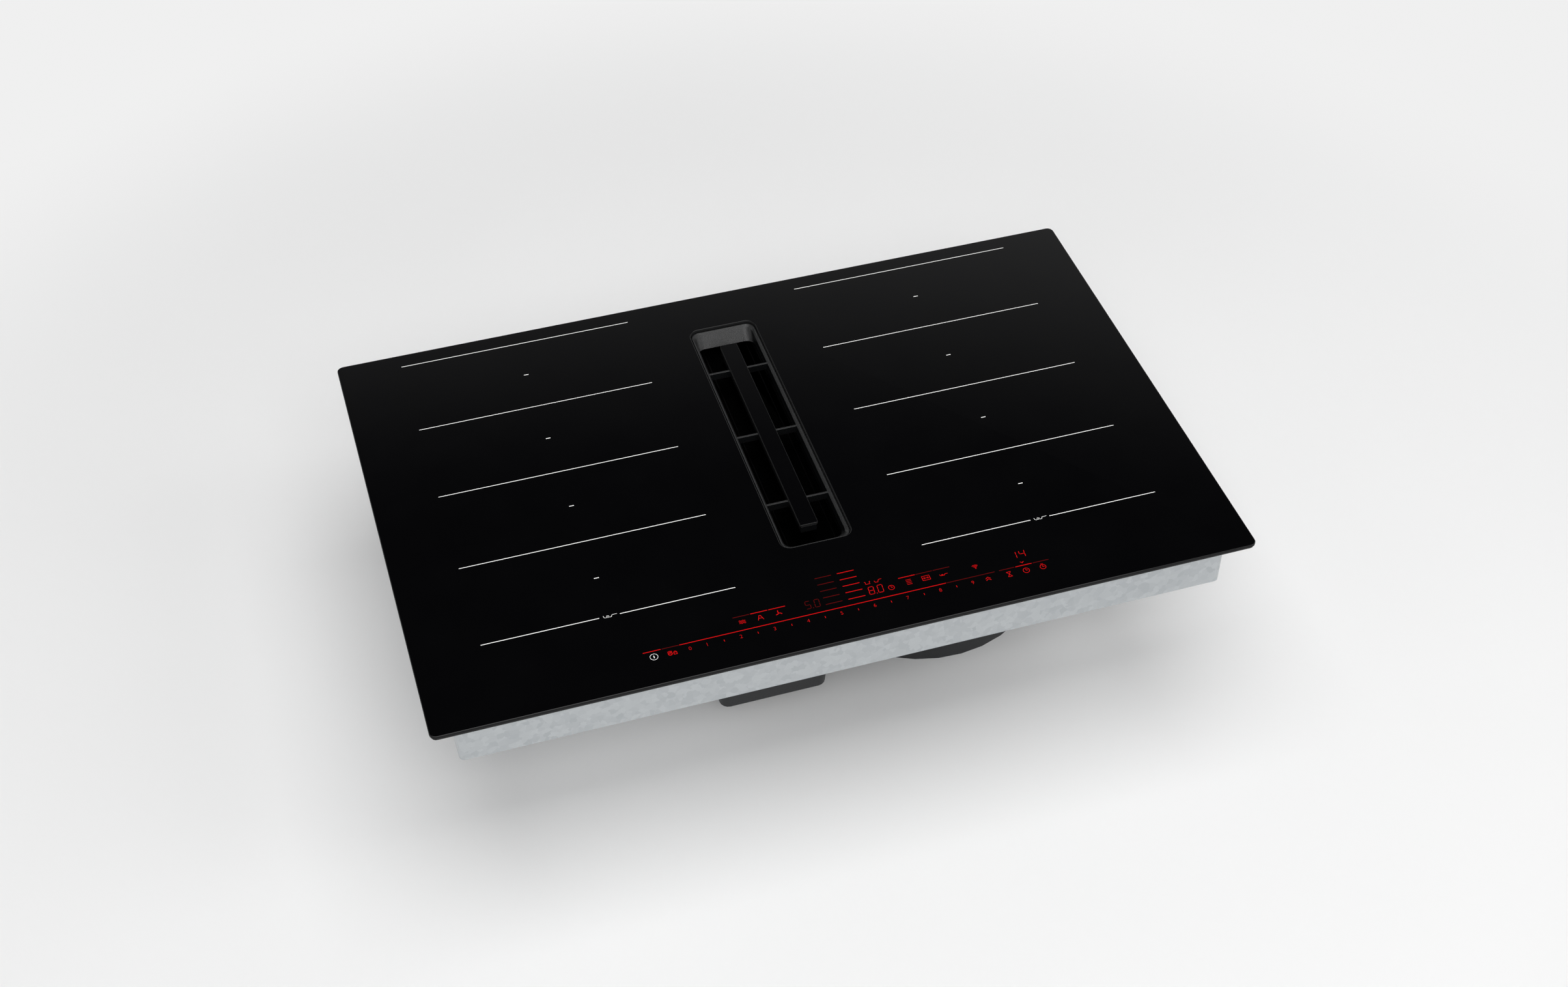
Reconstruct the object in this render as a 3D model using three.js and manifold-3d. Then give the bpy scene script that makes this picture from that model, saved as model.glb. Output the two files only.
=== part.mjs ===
// Downdraft induction cooktop of the 80 cm class, flush in a worktop: glass panel, induction tray, lift-out
// vent grille and filter cassette, air shaft, plenum with overflow tank, and a radial blower with a flat
// duct outlet at the back.
// Millimetres. +X right, +Y to the back, +Z up. The origin lies in the plane on which the seal rests on the
// worktop, under the middle of the glass.
import * as THREE from "three";
import { mergeVertices } from "three/addons/utils/BufferGeometryUtils.js";
import Module from "manifold-3d";

const wasm = await Module();
wasm.setup();

// ---------------------------------------------------------------- driving dimensions

// Clearances
const FIT = 0.3; // between pieces that rest on or in each other
const ROOT = 1; // how far a part that is moulded on reaches into what carries it
const SMALL_CORNER = 2; // of inside corners that nothing else sets
const APPLIANCE_HEIGHT = 223; // top of the glass to the underside of the blower

// Glass panel and the seal on which it lies
const GLASS_WIDTH = 792;
const GLASS_DEPTH = 512;
const GLASS_THICK = 4;
const GLASS_CORNER = 6.5;
const GLASS_ARRIS = 0.8;
const SEAL_THICK = 1.2;
const SEAL_WIDTH = 6;
const SEAL_INSET = 1;

// Vent opening in the glass
const VENT_WIDTH = 70.6;
const VENT_BACK = 53; // from the back edge of the glass
const VENT_FRONT = 126.6; // from its front edge
const VENT_CORNER = 10;

// Vent grille
const GRILLE_GAP = 1.3; // to the edge of the glass
const GRILLE_SINK = 2.6; // rim below the top of the glass
const GRILLE_HEIGHT = 13;
const GRILLE_RIM = 1.3;
const GRILLE_WALL = 3.1;
const CHAMFER_DROP = 2.4;
const RAMP_RUN = 12;
const RAMP_FILLET = 9;
const RIB_THICK = 2.2;
const RIB_SINK = 4.9; // top of the ribs below the top of the glass
const RIB_HEIGHT = 8;
const BAR_INSET = 0.7; // from the edges of the strip that lies on it
const BAR_HEIGHT = 7.5;
const BAR_CORNER = 1;
const STRIP_WIDTH = 17.9;
const STRIP_END = 28.2; // from the ends of the opening
const STRIP_SINK = 3.2;
const STRIP_THICK = 3;
const STRIP_CORNER = 1.5;
const STRIP_ARRIS = 0.4;

// Air shaft
const SHAFT_PLAY = 1; // round the grille
const SHAFT_WALL = 2.5;
const SHAFT_LEDGE = 3.2; // on which the grille lies
const SHAFT_LEDGE_THICK = 3;
const CHANNEL_CORNER = 3; // of the shaft below its ledge
const SHAFT_FLANGE = 13;
const SHAFT_FLANGE_THICK = 2;
const SHAFT_FOOT = 8;
const SHAFT_SEAL_THICK = 2;
const SHAFT_SHELF = 8; // carries the ends of the cassette
const SHAFT_SHELF_THICK = 3;

// Filter cassette and condensate tray
const CASSETTE_PLAY = 0.8; // to the wall of the shaft
const CASSETTE_DROP = 0.5; // below the grille
const CASSETTE_HEIGHT = 39;
const CASSETTE_RIM = 2;
const CASSETTE_RIM_HEIGHT = 3;
const CASSETTE_END = 3;
const CASSETTE_FOOT = 6; // of an end plate, on either side of the spine
const CASSETTE_SHOULDER = 4; // of an end plate, below the top of the mats
const SPINE_WIDTH = 7;
const SPINE_THICK = 2.5;
const MAT_THICK = 4;
const TROUGH_WIDTH = 30;
const TROUGH_HEIGHT = 13;
const TROUGH_WALL = 1.6;
const TROUGH_CORNER = 5;
const TROUGH_END_PLAY = 4; // to the shelves of the shaft

// Steel tray
const TRAY_SIDE = 23.5; // from the side edge of the glass
const TRAY_END = 16; // from the front and back edges of the glass
const TRAY_HEIGHT = 55;
const TRAY_CORNER = 5;
const TRAY_FLANGE = 6;
const SHEET = 1;
const SLOT_WIDTH = 3.5;
const INTAKE_ROWS = 5; // under either cooling fan
const INTAKE_PITCH = 12.6;
const INTAKE_EDGE = 2; // inside the bore of the fan
const EXHAUST_SLOT_LENGTH = 26;
const EXHAUST_SLOTS = 5; // on either side of the back wall
const EXHAUST_PITCH = 34;
const EXHAUST_X = 150;
const EXHAUST_SILL = 12; // over the floor of the tray
const EXHAUST_RISE = 9; // from the lower row to the upper one
const SHAFT_HOLE_PLAY = 1; // round the air shaft

// Induction zones: two fields of four coils
const ZONE_INNER = 92; // from the middle of the glass
const ZONE_SIDE = 64; // from its side edge
const ZONE_FRONT = 93.2; // from its front edge
const ZONE_BACK = 18.8; // from its back edge
const COILS_PER_FIELD = 4;
const COIL_THICK = 5;
const COIL_BAND = 26;
const COIL_MARGIN = 4; // to the next coil
const COIL_SQUARE = 2; // by which a coil's corner radius is less than half its depth
const SENSOR_WELL = 8; // radius, in the middle of a coil
const MICA_THICK = 0.8;
const MICA_GAP = 1;
const FORMER_THICK = 4;
const FORMER_EDGE = 2; // outside the coils
const FORMER_CORNER = 12;
const FORMER_END = 1; // inside the ends of the coil plate
const COIL_PLATE_THICK = 1.5;
const COIL_PLATE_MARGIN = 8;
const PLATE_WINDOW_HEIGHT = 24;
const PLATE_WINDOW_MARGIN = 12; // half of the metal between two windows
const PLATE_WINDOW_SILL = 6;

// Power electronics
const BOARD_THICK = 1.6;
const BOARD_SIDE = 13; // inside the folded sides of the coil plate
const BOARD_DEPTH = 200;
const BOARD_BEHIND = 5; // behind the cooling fan
const BOARD_EDGE = 8; // from its edges to the standoffs
const BOARD_STANDOFF = 8;
const STANDOFF_RADIUS = 3;
const SINK_LENGTH = 180;
const SINK_WIDTH = 50;
const SINK_HEIGHT = 26;
const SINK_BASE = 4;
const SINK_FRONT = 12; // from the front edge of its board
const SINK_FINS = 9;
const FIN_THICK = 1.6;
const CAPACITOR_RADIUS = 12;
const CAPACITOR_HEIGHT = 24;
const CAPACITOR_PITCH = 30;
const CAPACITOR_OUT = 60; // from the middle of the board to the side of the tray
const CAPACITOR_BACK = 30; // the middle one, behind the middle of the board
const CHOKE_RADIUS = 17;
const CHOKE_BORE = 7;
const CHOKE_HEIGHT = 16;
const CHOKE_IN = 50; // from the middle of the board to the middle of the tray
const CHOKE_BACK = 38; // midway between the two, behind the middle of the board
const CHOKE_SPREAD = 22;

// Cooling fans of the electronics
const COOLER_X = 140;
const COOLER_FRONT = 4; // behind the front wall of the tray
const COOLER_SIZE = 80;
const COOLER_HEIGHT = 15;
const COOLER_BORE = 37;
const COOLER_HUB = 14;
const COOLER_BLADES = 7;
const COOLER_TIP_GAP = 1.5;
const COOLER_PIN = 1.6;
const COOLER_PIN_DROP = 4; // below the top of the frame
const COOLER_CORNER = 6;
const COOLER_HUB_HEIGHT = 4;
const COOLER_STRUT_WIDTH = 3;
const COOLER_STRUT_THICK = 2.5;
const COOLER_ROTOR_DROP = 1; // below the top of the frame
const COOLER_BLADE_CHORD = 13;
const COOLER_BLADE_THICK = 1.4;
const COOLER_BLADE_LEAN = 32; // degrees

// Touch control
const TOUCH_X = 2;
const TOUCH_FRONT = 5; // behind the front wall of the tray
const TOUCH_WIDTH = 450;
const TOUCH_DEPTH = 58;
const TOUCH_HEIGHT = 12;
const TOUCH_WALL = 2;
const TOUCH_LEG = 8;
const TOUCH_CORNER = 4;
const LAMP_ROW_HEIGHT = 5;
const LAMP_ROW_INSET = 25; // from the sides of the carrier
const LAMP_ROW_DEPTH = 12;
const LAMP_ROW_FRONT = 9; // from the front of the carrier
const DISPLAY_WIDTH = 220;
const DISPLAY_DEPTH = 20;

// Mains connection
const TERMINAL_SIDE = 82.5; // from the left wall of the tray
const TERMINAL_WIDTH = 90;
const TERMINAL_DEPTH = 62;
const TERMINAL_HEIGHT = 30;
const TERMINAL_WALL = 2;
const TERMINAL_CORNER = 4;
const TERMINAL_PLAY = 1; // to the gland
const TERMINAL_BLOCK_MARGIN = 12; // from the sides of the box
const TERMINAL_BLOCK_DEPTH = 18;
const TERMINAL_BLOCK_HEIGHT = 18;
const GLAND_RADIUS = 13;
const GLAND_NECK = 10;
const GLAND_BORE = 6;
const GLAND_LIP = 3;
const GLAND_SLEEVE = 7.5; // behind the tray
const GLAND_STEP = 1;

// Plenum under the tray
const MOULD_WALL = 3;
const PLENUM_X = 85;
const PLENUM_BEHIND = 5.2; // its middle, behind that of the vent
const PLENUM_WIDTH = 410;
const PLENUM_END = 25.8; // beyond either end of the vent
const PLENUM_HEIGHT = 60;
const PLENUM_CORNER = 18;
const RIB_STEP = 75; // between the stiffening ribs on its walls
const RIB_OUT = 4;
const RIB_WALL = 2;
const EAR_RADIUS = 9;
const EAR_OUT = 5;
const EAR_SPREAD = 90; // from the middle, to the front and to the back
const EAR_THICK = 4;
const SCREW_RADIUS = 2.4;
const SCREW_HEAD_RADIUS = 4.6;
const SCREW_HEAD = 3.6;
const SCREW_OUT = 3; // over the floor of the tray

// Blower
const BLOWER_X = 150;
const BLOWER_AHEAD = 26.8; // its axle, in front of the middle of the vent
const TONGUE_RADIUS = 108;
const EXIT_RADIUS = 137;
const TONGUE_ANGLE = 40;
const SCROLL_BEHIND = 3; // from the outlet to the back of the plenum
const BEND_X = 30; // bend of the left wall of the outlet, from the axle
const BEND_Y = 160;
const LUG_RADIUS = 8; // round the screws that hold the scroll up to the plenum
const LUG_THICK = 4;
const LUG_OUT = 5; // the screws, outside the wall of the scroll
const LUG_ANGLES = [100, 155, 225, 315]; // degrees, round the axle
const IMPELLER_RADIUS = 95;
const IMPELLER_HEIGHT = 81;
const IMPELLER_DISC = 2.5;
const IMPELLER_LIFT = 9.5; // over the floor of the scroll
const BLADES = 28;
const BLADE_CHORD = 14; // from the inner to the outer edge, along the radius
const BLADE_BEND = 11; // radius to which a blade is curved
const BLADE_THICK = 1.8;
const BLADE_SET = 2; // the middle of its curve, inside the middle of its chord
const DISH_GAP = 3; // from the motor to the dished disc
const DISH_FLARE = 10; // outside the motor, where the dish meets the disc
const BELL_RADIUS = 74;
const BELL_WALL = 4;
const BELL_FLANGE = 14;
const BELL_REACH = 11; // below the floor of the plenum
const BELL_ROUND = 5;
const BELL_PLATE = 3; // thickness of the flange
const BELL_LIP = 1; // from the bore to the lower edge
const MOTOR_RADIUS = 36;
const MOTOR_HEIGHT = 46;
const MOTOR_BASE_RADIUS = 50;
const MOTOR_BASE = 3;
const MOTOR_BEVEL = 3;
const MOTOR_AXLE_RADIUS = 4;
const MOTOR_AXLE_OUT = 22; // of the motor, into the hub
const HUB_RADIUS = 10;
const HUB_TOP = 3;

// Outlet for the 222 x 89 flat duct
const DUCT_WIDTH = 222;
const DUCT_HEIGHT = 89;
const DUCT_WALL = 2;
const DUCT_CORNER = 9;
const DUCT_REACH = 20;
const DUCT_PLATE = 3;
const DUCT_PLATE_CORNER = 4;

// Overflow tank
const TANK_X = -48;
const TANK_FRONT = 2; // behind the front of the plenum
const TANK_WIDTH = 120;
const TANK_DEPTH = 200;
const TANK_HEIGHT = 70;
const TANK_WALL = 2.5;
const TANK_CORNER = 14;
const TANK_LIP = 4;
const TANK_LIP_THICK = 3;
const TANK_TAPER = 5;
const TANK_SEAL = 2.4;
const TANK_SEAL_HEIGHT = 4;
const GRIP_WIDTH = 70; // ledges for the fingers on its front and back
const GRIP_OUT = 3.5;
const GRIP_HEIGHT = 4;
const GRIP_DROP = 30; // below its rim
const COLLAR_HEIGHT = 8;
const TANK_STRAIGHT = 10; // the upper part of its wall
const TANK_SEAL_DROP = 2; // below the floor of the plenum
const COLLAR_WALL = 2;

// Clamps that hold the cooktop down in the worktop
const CLAMP_END = 90; // from the front and back walls of the tray
const CLAMP_WIDTH = 32;
const CLAMP_SHEET = 2;
const CLAMP_DROP = 8; // below the worktop seat
const CLAMP_HEIGHT = 40;
const CLAMP_ARM = 20;
const CLAMP_SCREW_LENGTH = 26;
const CLAMP_SCREW_OUT = 14;

// ---------------------------------------------------------------- levels and places worked out from them

const glassUnder = SEAL_THICK + FIT;
const glassTop = glassUnder + GLASS_THICK;
const applianceBottom = glassTop - APPLIANCE_HEIGHT;

const ventLength = GLASS_DEPTH - VENT_FRONT - VENT_BACK;
const ventY = GLASS_DEPTH / 2 - VENT_BACK - ventLength / 2;
const zoneWidth = GLASS_WIDTH / 2 - ZONE_INNER - ZONE_SIDE;
const zonePitch = (GLASS_DEPTH - ZONE_FRONT - ZONE_BACK) / COILS_PER_FIELD;
const zoneX = ZONE_INNER + zoneWidth / 2;
const zoneY = GLASS_DEPTH / 2 - ZONE_BACK - (zonePitch * COILS_PER_FIELD) / 2;
const trayWidth = GLASS_WIDTH - 2 * TRAY_SIDE;
const trayDepth = GLASS_DEPTH - 2 * TRAY_END;
const trayFront = -trayDepth / 2 + SHEET;
const coolerY = trayFront + COOLER_FRONT + COOLER_SIZE / 2;
const boardY = coolerY + COOLER_SIZE / 2 + BOARD_BEHIND + BOARD_DEPTH / 2;
const boardWidth = zoneWidth + 2 * COIL_PLATE_MARGIN - 2 * BOARD_SIDE;
const touchY = trayFront + TOUCH_FRONT + TOUCH_DEPTH / 2;
const terminalX = -trayWidth / 2 + TERMINAL_SIDE;
const clampY = trayDepth / 2 - CLAMP_END;
const plenumDepth = ventLength + 2 * PLENUM_END;
const plenumY = ventY + PLENUM_BEHIND;
const tankY = plenumY - plenumDepth / 2 + TANK_FRONT + TANK_DEPTH / 2;
const blowerY = ventY - BLOWER_AHEAD;
const scrollRear = plenumY + plenumDepth / 2 - SCROLL_BEHIND;

const grilleHalf = { x: VENT_WIDTH / 2 - GRILLE_GAP, y: ventLength / 2 - GRILLE_GAP };
const grilleCorner = VENT_CORNER - GRILLE_GAP;
const grilleTop = glassTop - GRILLE_SINK;
const grilleBottom = grilleTop - GRILLE_HEIGHT;

const throatHalf = { x: grilleHalf.x + SHAFT_PLAY, y: grilleHalf.y + SHAFT_PLAY };
const throatCorner = grilleCorner + SHAFT_PLAY;
const channelHalf = { x: throatHalf.x - SHAFT_LEDGE, y: throatHalf.y - SHAFT_LEDGE };
const channelOuter = { x: channelHalf.x + SHAFT_WALL, y: channelHalf.y + SHAFT_WALL };
const channelOuterCorner = CHANNEL_CORNER + SHAFT_WALL;
const shaftTop = glassUnder - SHAFT_SEAL_THICK - 2 * FIT;
const ledgeTop = grilleBottom - FIT;

const cassetteHalf = { x: channelHalf.x - CASSETTE_PLAY, y: channelHalf.y - CASSETTE_PLAY };
const cassetteCorner = Math.max(CHANNEL_CORNER - CASSETTE_PLAY, SMALL_CORNER);
const cassetteTop = grilleBottom - CASSETTE_DROP;
const cassetteBottom = cassetteTop - CASSETTE_HEIGHT;
const shelfTop = cassetteBottom - FIT;

const trayTop = glassUnder - FIT;
const trayBottom = trayTop - TRAY_HEIGHT;
const trayFloor = trayBottom + SHEET;

const micaTop = glassUnder - MICA_GAP;
const coilTop = micaTop - MICA_THICK - FIT;
const formerTop = coilTop - COIL_THICK - FIT;
const platesTop = formerTop - FORMER_THICK - FIT;
const platesUnder = platesTop - COIL_PLATE_THICK;
const coilHalf = { x: zoneWidth / 2 - COIL_MARGIN, y: (zonePitch - COIL_MARGIN) / 2 };
const fieldHalf = {
  x: zoneWidth / 2 + COIL_PLATE_MARGIN,
  y: (zonePitch * COILS_PER_FIELD) / 2,
};
const boardTop = trayFloor + BOARD_STANDOFF + BOARD_THICK;

const coverTop = trayBottom - FIT;
const coverUnder = coverTop - MOULD_WALL;
const plenumTop = coverUnder - FIT;
const plenumUnder = plenumTop - PLENUM_HEIGHT;
const plenumFloor = plenumUnder + MOULD_WALL;
const scrollTop = plenumUnder - FIT;
const scrollFloor = applianceBottom + MOULD_WALL;

const impellerBottom = scrollFloor + IMPELLER_LIFT;
const impellerTop = impellerBottom + IMPELLER_HEIGHT;
const motorTop = scrollFloor + FIT + MOTOR_HEIGHT;
const axleTop = motorTop + MOTOR_AXLE_OUT;

const tankTop = plenumUnder - FIT;
const tankBottom = tankTop - TANK_HEIGHT;
const tankInner = { x: TANK_WIDTH / 2 - TANK_WALL, y: TANK_DEPTH / 2 - TANK_WALL };
const tankInnerCorner = TANK_CORNER - TANK_WALL;
const collarInset = FIT + TANK_SEAL + FIT; // from the inside of the tank to the collar

// ---------------------------------------------------------------- geometry

const DEGREE = Math.PI / 180;
const OVERCUT = 2; // how far a cutting solid stands out of what it cuts

function arc(cx, cy, radius, from, to, steps) {
  const points = [];
  for (let i = 0; i <= steps; i++) {
    const angle = (from + ((to - from) * i) / steps) * DEGREE;
    points.push(new THREE.Vector2(cx + radius * Math.cos(angle), cy + radius * Math.sin(angle)));
  }
  return points;
}

function circle(cx, cy, radius, steps = 32) {
  return arc(cx, cy, radius, 0, 360, steps).slice(0, -1);
}

function roundedRect(half, radius, cx = 0, cy = 0, steps = 4) {
  const x = half.x - radius;
  const y = half.y - radius;
  return [
    ...arc(cx + x, cy + y, radius, 0, 90, steps),
    ...arc(cx - x, cy + y, radius, 90, 180, steps),
    ...arc(cx - x, cy - y, radius, 180, 270, steps),
    ...arc(cx + x, cy - y, radius, 270, 360, steps),
  ];
}

function grown(half, by) {
  return { x: half.x + by, y: half.y + by };
}

function block(x0, x1, y0, y1, z0, z1) {
  const box = new THREE.BoxGeometry(x1 - x0, y1 - y0, z1 - z0);
  return box.translate((x0 + x1) / 2, (y0 + y1) / 2, (z0 + z1) / 2);
}

// A flat outline in X and Y with holes, between two heights.
function slab(outline, bottom, top, holes = []) {
  const shape = new THREE.Shape(outline);
  shape.holes = holes.map((hole) => new THREE.Path(hole));
  const extruded = new THREE.ExtrudeGeometry(shape, { depth: top - bottom, bevelEnabled: false });
  return extruded.translate(0, 0, bottom);
}

// The same with a narrow bevel along every edge of both faces.
function bevelledSlab(outline, bottom, top, bevel, holes = []) {
  const shape = new THREE.Shape(outline);
  shape.holes = holes.map((hole) => new THREE.Path(hole));
  const extruded = new THREE.ExtrudeGeometry(shape, {
    depth: top - bottom - 2 * bevel,
    bevelThickness: bevel,
    bevelSize: bevel,
    bevelOffset: -bevel,
    bevelSegments: 1,
  });
  return extruded.translate(0, 0, bottom + bevel);
}

// An outline in X and Z with holes, between two places along Y.
function beam(outline, front, back, holes = []) {
  const shape = new THREE.Shape(outline);
  shape.holes = holes.map((hole) => new THREE.Path(hole));
  const extruded = new THREE.ExtrudeGeometry(shape, { depth: back - front, bevelEnabled: false });
  return extruded.rotateX(Math.PI / 2).translate(0, back, 0);
}

function rod(x, y, radius, bottom, top, sides = 16) {
  return slab(circle(x, y, radius, sides), bottom, top);
}

// A profile of [radius, height] points turned about the vertical through x, y.
function turned(profile, x, y, sides = 40) {
  const points = profile.map(([radius, height]) => new THREE.Vector2(radius, height));
  return new THREE.LatheGeometry(points, sides).rotateX(Math.PI / 2).translate(x, y, 0);
}

// A solid through rings of equally many points, given as outline and height from the bottom up.
function loft(rings) {
  const count = rings[0].outline.length;
  const vertices = rings.flatMap(({ outline, height }) => outline.flatMap((p) => [p.x, p.y, height]));
  const faces = [];
  for (let ring = 0; ring + 1 < rings.length; ring++) {
    for (let i = 0; i < count; i++) {
      const a = ring * count + i;
      const b = ring * count + ((i + 1) % count);
      faces.push(a, b, b + count, a, b + count, a + count);
    }
  }
  const last = (rings.length - 1) * count;
  for (let i = 1; i + 1 < count; i++) {
    faces.push(0, i + 1, i);
    faces.push(last, last + i, last + i + 1);
  }
  const geometry = new THREE.BufferGeometry();
  geometry.setAttribute("position", new THREE.Float32BufferAttribute(vertices, 3));
  geometry.setIndex(faces);
  return geometry;
}

function toSolid(geometry) {
  const bare = new THREE.BufferGeometry();
  bare.setAttribute("position", geometry.getAttribute("position"));
  bare.setIndex(geometry.index);
  const merged = mergeVertices(bare, 1e-4);
  return new wasm.Manifold(
    new wasm.Mesh({
      numProp: 3,
      vertProperties: new Float32Array(merged.getAttribute("position").array),
      triVerts: new Uint32Array(merged.index.array),
    }),
  );
}

function toGeometry(solid) {
  const { vertProperties, triVerts } = solid.getMesh();
  const geometry = new THREE.BufferGeometry();
  geometry.setAttribute("position", new THREE.BufferAttribute(vertProperties, 3));
  geometry.setIndex(new THREE.BufferAttribute(triVerts, 1));
  return geometry;
}

function joined(...geometries) {
  return toGeometry(geometries.map(toSolid).reduce((whole, piece) => whole.add(piece)));
}

function cut(base, ...tools) {
  return toGeometry(tools.map(toSolid).reduce((whole, tool) => whole.subtract(tool), toSolid(base)));
}

// ---------------------------------------------------------------- materials

function finish(color, roughness, metalness = 0) {
  return () => new THREE.MeshStandardMaterial({ color, roughness, metalness });
}

const blackGlass = finish(0x08090b, 0.06);
const softBlack = finish(0x17181a, 0.55);
const mouldedBlack = finish(0x1c1d1f, 0.5);
const greyPlastic = finish(0x4a4d50, 0.6);
const rubber = finish(0x121212, 0.9);
const zincSteel = finish(0xa9adb0, 0.42, 1);
const stainless = finish(0xb9bbbd, 0.32, 1);
const aluminium = finish(0xc4c7ca, 0.4, 1);
const copper = finish(0xa8623a, 0.45, 1);
const mica = finish(0xcdbf9e, 0.7);
const circuit = finish(0x1d4a32, 0.55);

const cooktop = new THREE.Group();

function addPiece(name, geometry, material) {
  const mesh = new THREE.Mesh(geometry, material());
  mesh.name = name;
  cooktop.add(mesh);
}

const SIDES = [
  ["left", -1],
  ["right", 1],
];

// ---------------------------------------------------------------- glass panel and seal

function glassPanel() {
  const outline = roundedRect({ x: GLASS_WIDTH / 2, y: GLASS_DEPTH / 2 }, GLASS_CORNER, 0, 0, 6);
  const vent = roundedRect({ x: VENT_WIDTH / 2, y: ventLength / 2 }, VENT_CORNER, 0, ventY, 6);
  return bevelledSlab(outline, glassUnder, glassTop, GLASS_ARRIS, [vent]);
}

function worktopSeal() {
  const outer = { x: GLASS_WIDTH / 2 - SEAL_INSET, y: GLASS_DEPTH / 2 - SEAL_INSET };
  const inner = grown(outer, -SEAL_WIDTH);
  const corner = Math.max(GLASS_CORNER - SEAL_INSET, SMALL_CORNER);
  return slab(roundedRect(outer, corner), 0, SEAL_THICK, [roundedRect(inner, SMALL_CORNER, 0, 0, 2)]);
}

addPiece("glass_panel", glassPanel(), blackGlass);
addPiece("worktop_seal", worktopSeal(), rubber);

// ---------------------------------------------------------------- vent grille

// The hopper inside the grille: chamfered long sides, and a ramp with rounded corners at either end.
function grilleHopper() {
  const slope = RAMP_RUN / GRILLE_HEIGHT;
  const rim = grown(grilleHalf, -GRILLE_RIM);
  const inside = grilleHalf.x - GRILLE_WALL;
  const level = (height, x, radius) => ({
    height,
    outline: roundedRect({ x, y: rim.y - slope * (grilleTop - height) }, radius, 0, ventY, 6),
  });
  return loft([
    level(grilleBottom - OVERCUT, inside, RAMP_FILLET),
    level(grilleTop - CHAMFER_DROP, inside, RAMP_FILLET),
    level(grilleTop, rim.x, grilleCorner - GRILLE_RIM),
    { ...level(grilleTop, rim.x, grilleCorner - GRILLE_RIM), height: grilleTop + OVERCUT },
  ]);
}

function grilleRibs() {
  const top = glassTop - RIB_SINK;
  const reach = grilleHalf.x - GRILLE_WALL / 2;
  return [-zonePitch, 0, zonePitch].map((y) => {
    const middle = ventY + y;
    return block(-reach, reach, middle - RIB_THICK / 2, middle + RIB_THICK / 2, top - RIB_HEIGHT, top);
  });
}

const stripHalf = { x: STRIP_WIDTH / 2, y: ventLength / 2 - STRIP_END };
const stripTop = glassTop - STRIP_SINK;

function ventGrille() {
  const frame = slab(roundedRect(grilleHalf, grilleCorner, 0, ventY, 6), grilleBottom, grilleTop);
  const barTop = stripTop - STRIP_THICK - FIT;
  const barOutline = roundedRect(grown(stripHalf, -BAR_INSET), BAR_CORNER, 0, ventY, 3);
  const bar = slab(barOutline, barTop - BAR_HEIGHT, barTop);
  const pocketOutline = roundedRect(grown(stripHalf, FIT), STRIP_CORNER + FIT, 0, ventY, 3);
  const pocket = slab(pocketOutline, barTop, stripTop + OVERCUT);
  const ribs = grilleRibs();
  return cut(joined(cut(frame, grilleHopper()), bar, ...ribs), pocket);
}

function grilleStrip() {
  const outline = roundedRect(stripHalf, STRIP_CORNER, 0, ventY, 3);
  return bevelledSlab(outline, stripTop - STRIP_THICK, stripTop, STRIP_ARRIS);
}

addPiece("vent_grille", ventGrille(), softBlack);
addPiece("grille_glass_strip", grilleStrip(), blackGlass);

// ---------------------------------------------------------------- filter cassette

const matOuter = cassetteHalf.x - CASSETTE_RIM - FIT;
const matTop = cassetteTop - CASSETTE_RIM_HEIGHT;
const spineTop = cassetteBottom + SPINE_THICK;
const endInside = cassetteHalf.y - CASSETTE_END;

function cassetteFrame() {
  const rimOutline = roundedRect(cassetteHalf, cassetteCorner, 0, ventY, 3);
  const rimHole = roundedRect(grown(cassetteHalf, -CASSETTE_RIM), SMALL_CORNER, 0, ventY, 1);
  const rim = slab(rimOutline, cassetteTop - CASSETTE_RIM_HEIGHT, cassetteTop, [rimHole]);
  const spine = block(
    -SPINE_WIDTH / 2,
    SPINE_WIDTH / 2,
    ventY - cassetteHalf.y + ROOT,
    ventY + cassetteHalf.y - ROOT,
    cassetteBottom,
    spineTop,
  );
  const ends = [-1, 1].map((side) => {
    const outside = ventY + side * (cassetteHalf.y - CASSETTE_RIM / 4);
    const inside = ventY + side * endInside;
    const foot = SPINE_WIDTH / 2 + CASSETTE_FOOT;
    const outline = [
      [-cassetteHalf.x + cassetteCorner, cassetteTop - CASSETTE_RIM_HEIGHT / 2],
      [-cassetteHalf.x + cassetteCorner, matTop - CASSETTE_SHOULDER],
      [-foot, cassetteBottom],
      [foot, cassetteBottom],
      [cassetteHalf.x - cassetteCorner, matTop - CASSETTE_SHOULDER],
      [cassetteHalf.x - cassetteCorner, cassetteTop - CASSETTE_RIM_HEIGHT / 2],
    ].map(([x, z]) => new THREE.Vector2(x, z));
    return beam(outline, Math.min(inside, outside), Math.max(inside, outside));
  });
  return joined(rim, spine, ...ends);
}

// A mat leans from the rim down to the spine.
function filterMat(side) {
  const lean = Math.atan2(matOuter - SPINE_WIDTH / 2, matTop - spineTop);
  const across = MAT_THICK / Math.cos(lean);
  const outline = [
    [side * matOuter, matTop - FIT],
    [side * (matOuter - across), matTop - FIT],
    [side * FIT, spineTop + FIT],
    [side * (FIT + across), spineTop + FIT],
  ].map(([x, z]) => new THREE.Vector2(x, z));
  return beam(outline, ventY - endInside + FIT, ventY + endInside - FIT);
}

function condensateTray() {
  const half = { x: TROUGH_WIDTH / 2, y: channelHalf.y - SHAFT_SHELF - TROUGH_END_PLAY };
  const top = cassetteBottom - FIT;
  const bottom = top - TROUGH_HEIGHT;
  const tub = slab(roundedRect(half, TROUGH_CORNER, 0, ventY, 3), bottom, top);
  const inside = slab(
    roundedRect(grown(half, -TROUGH_WALL), TROUGH_CORNER - TROUGH_WALL, 0, ventY, 3),
    bottom + TROUGH_WALL,
    top + OVERCUT,
  );
  return cut(tub, inside);
}

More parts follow.
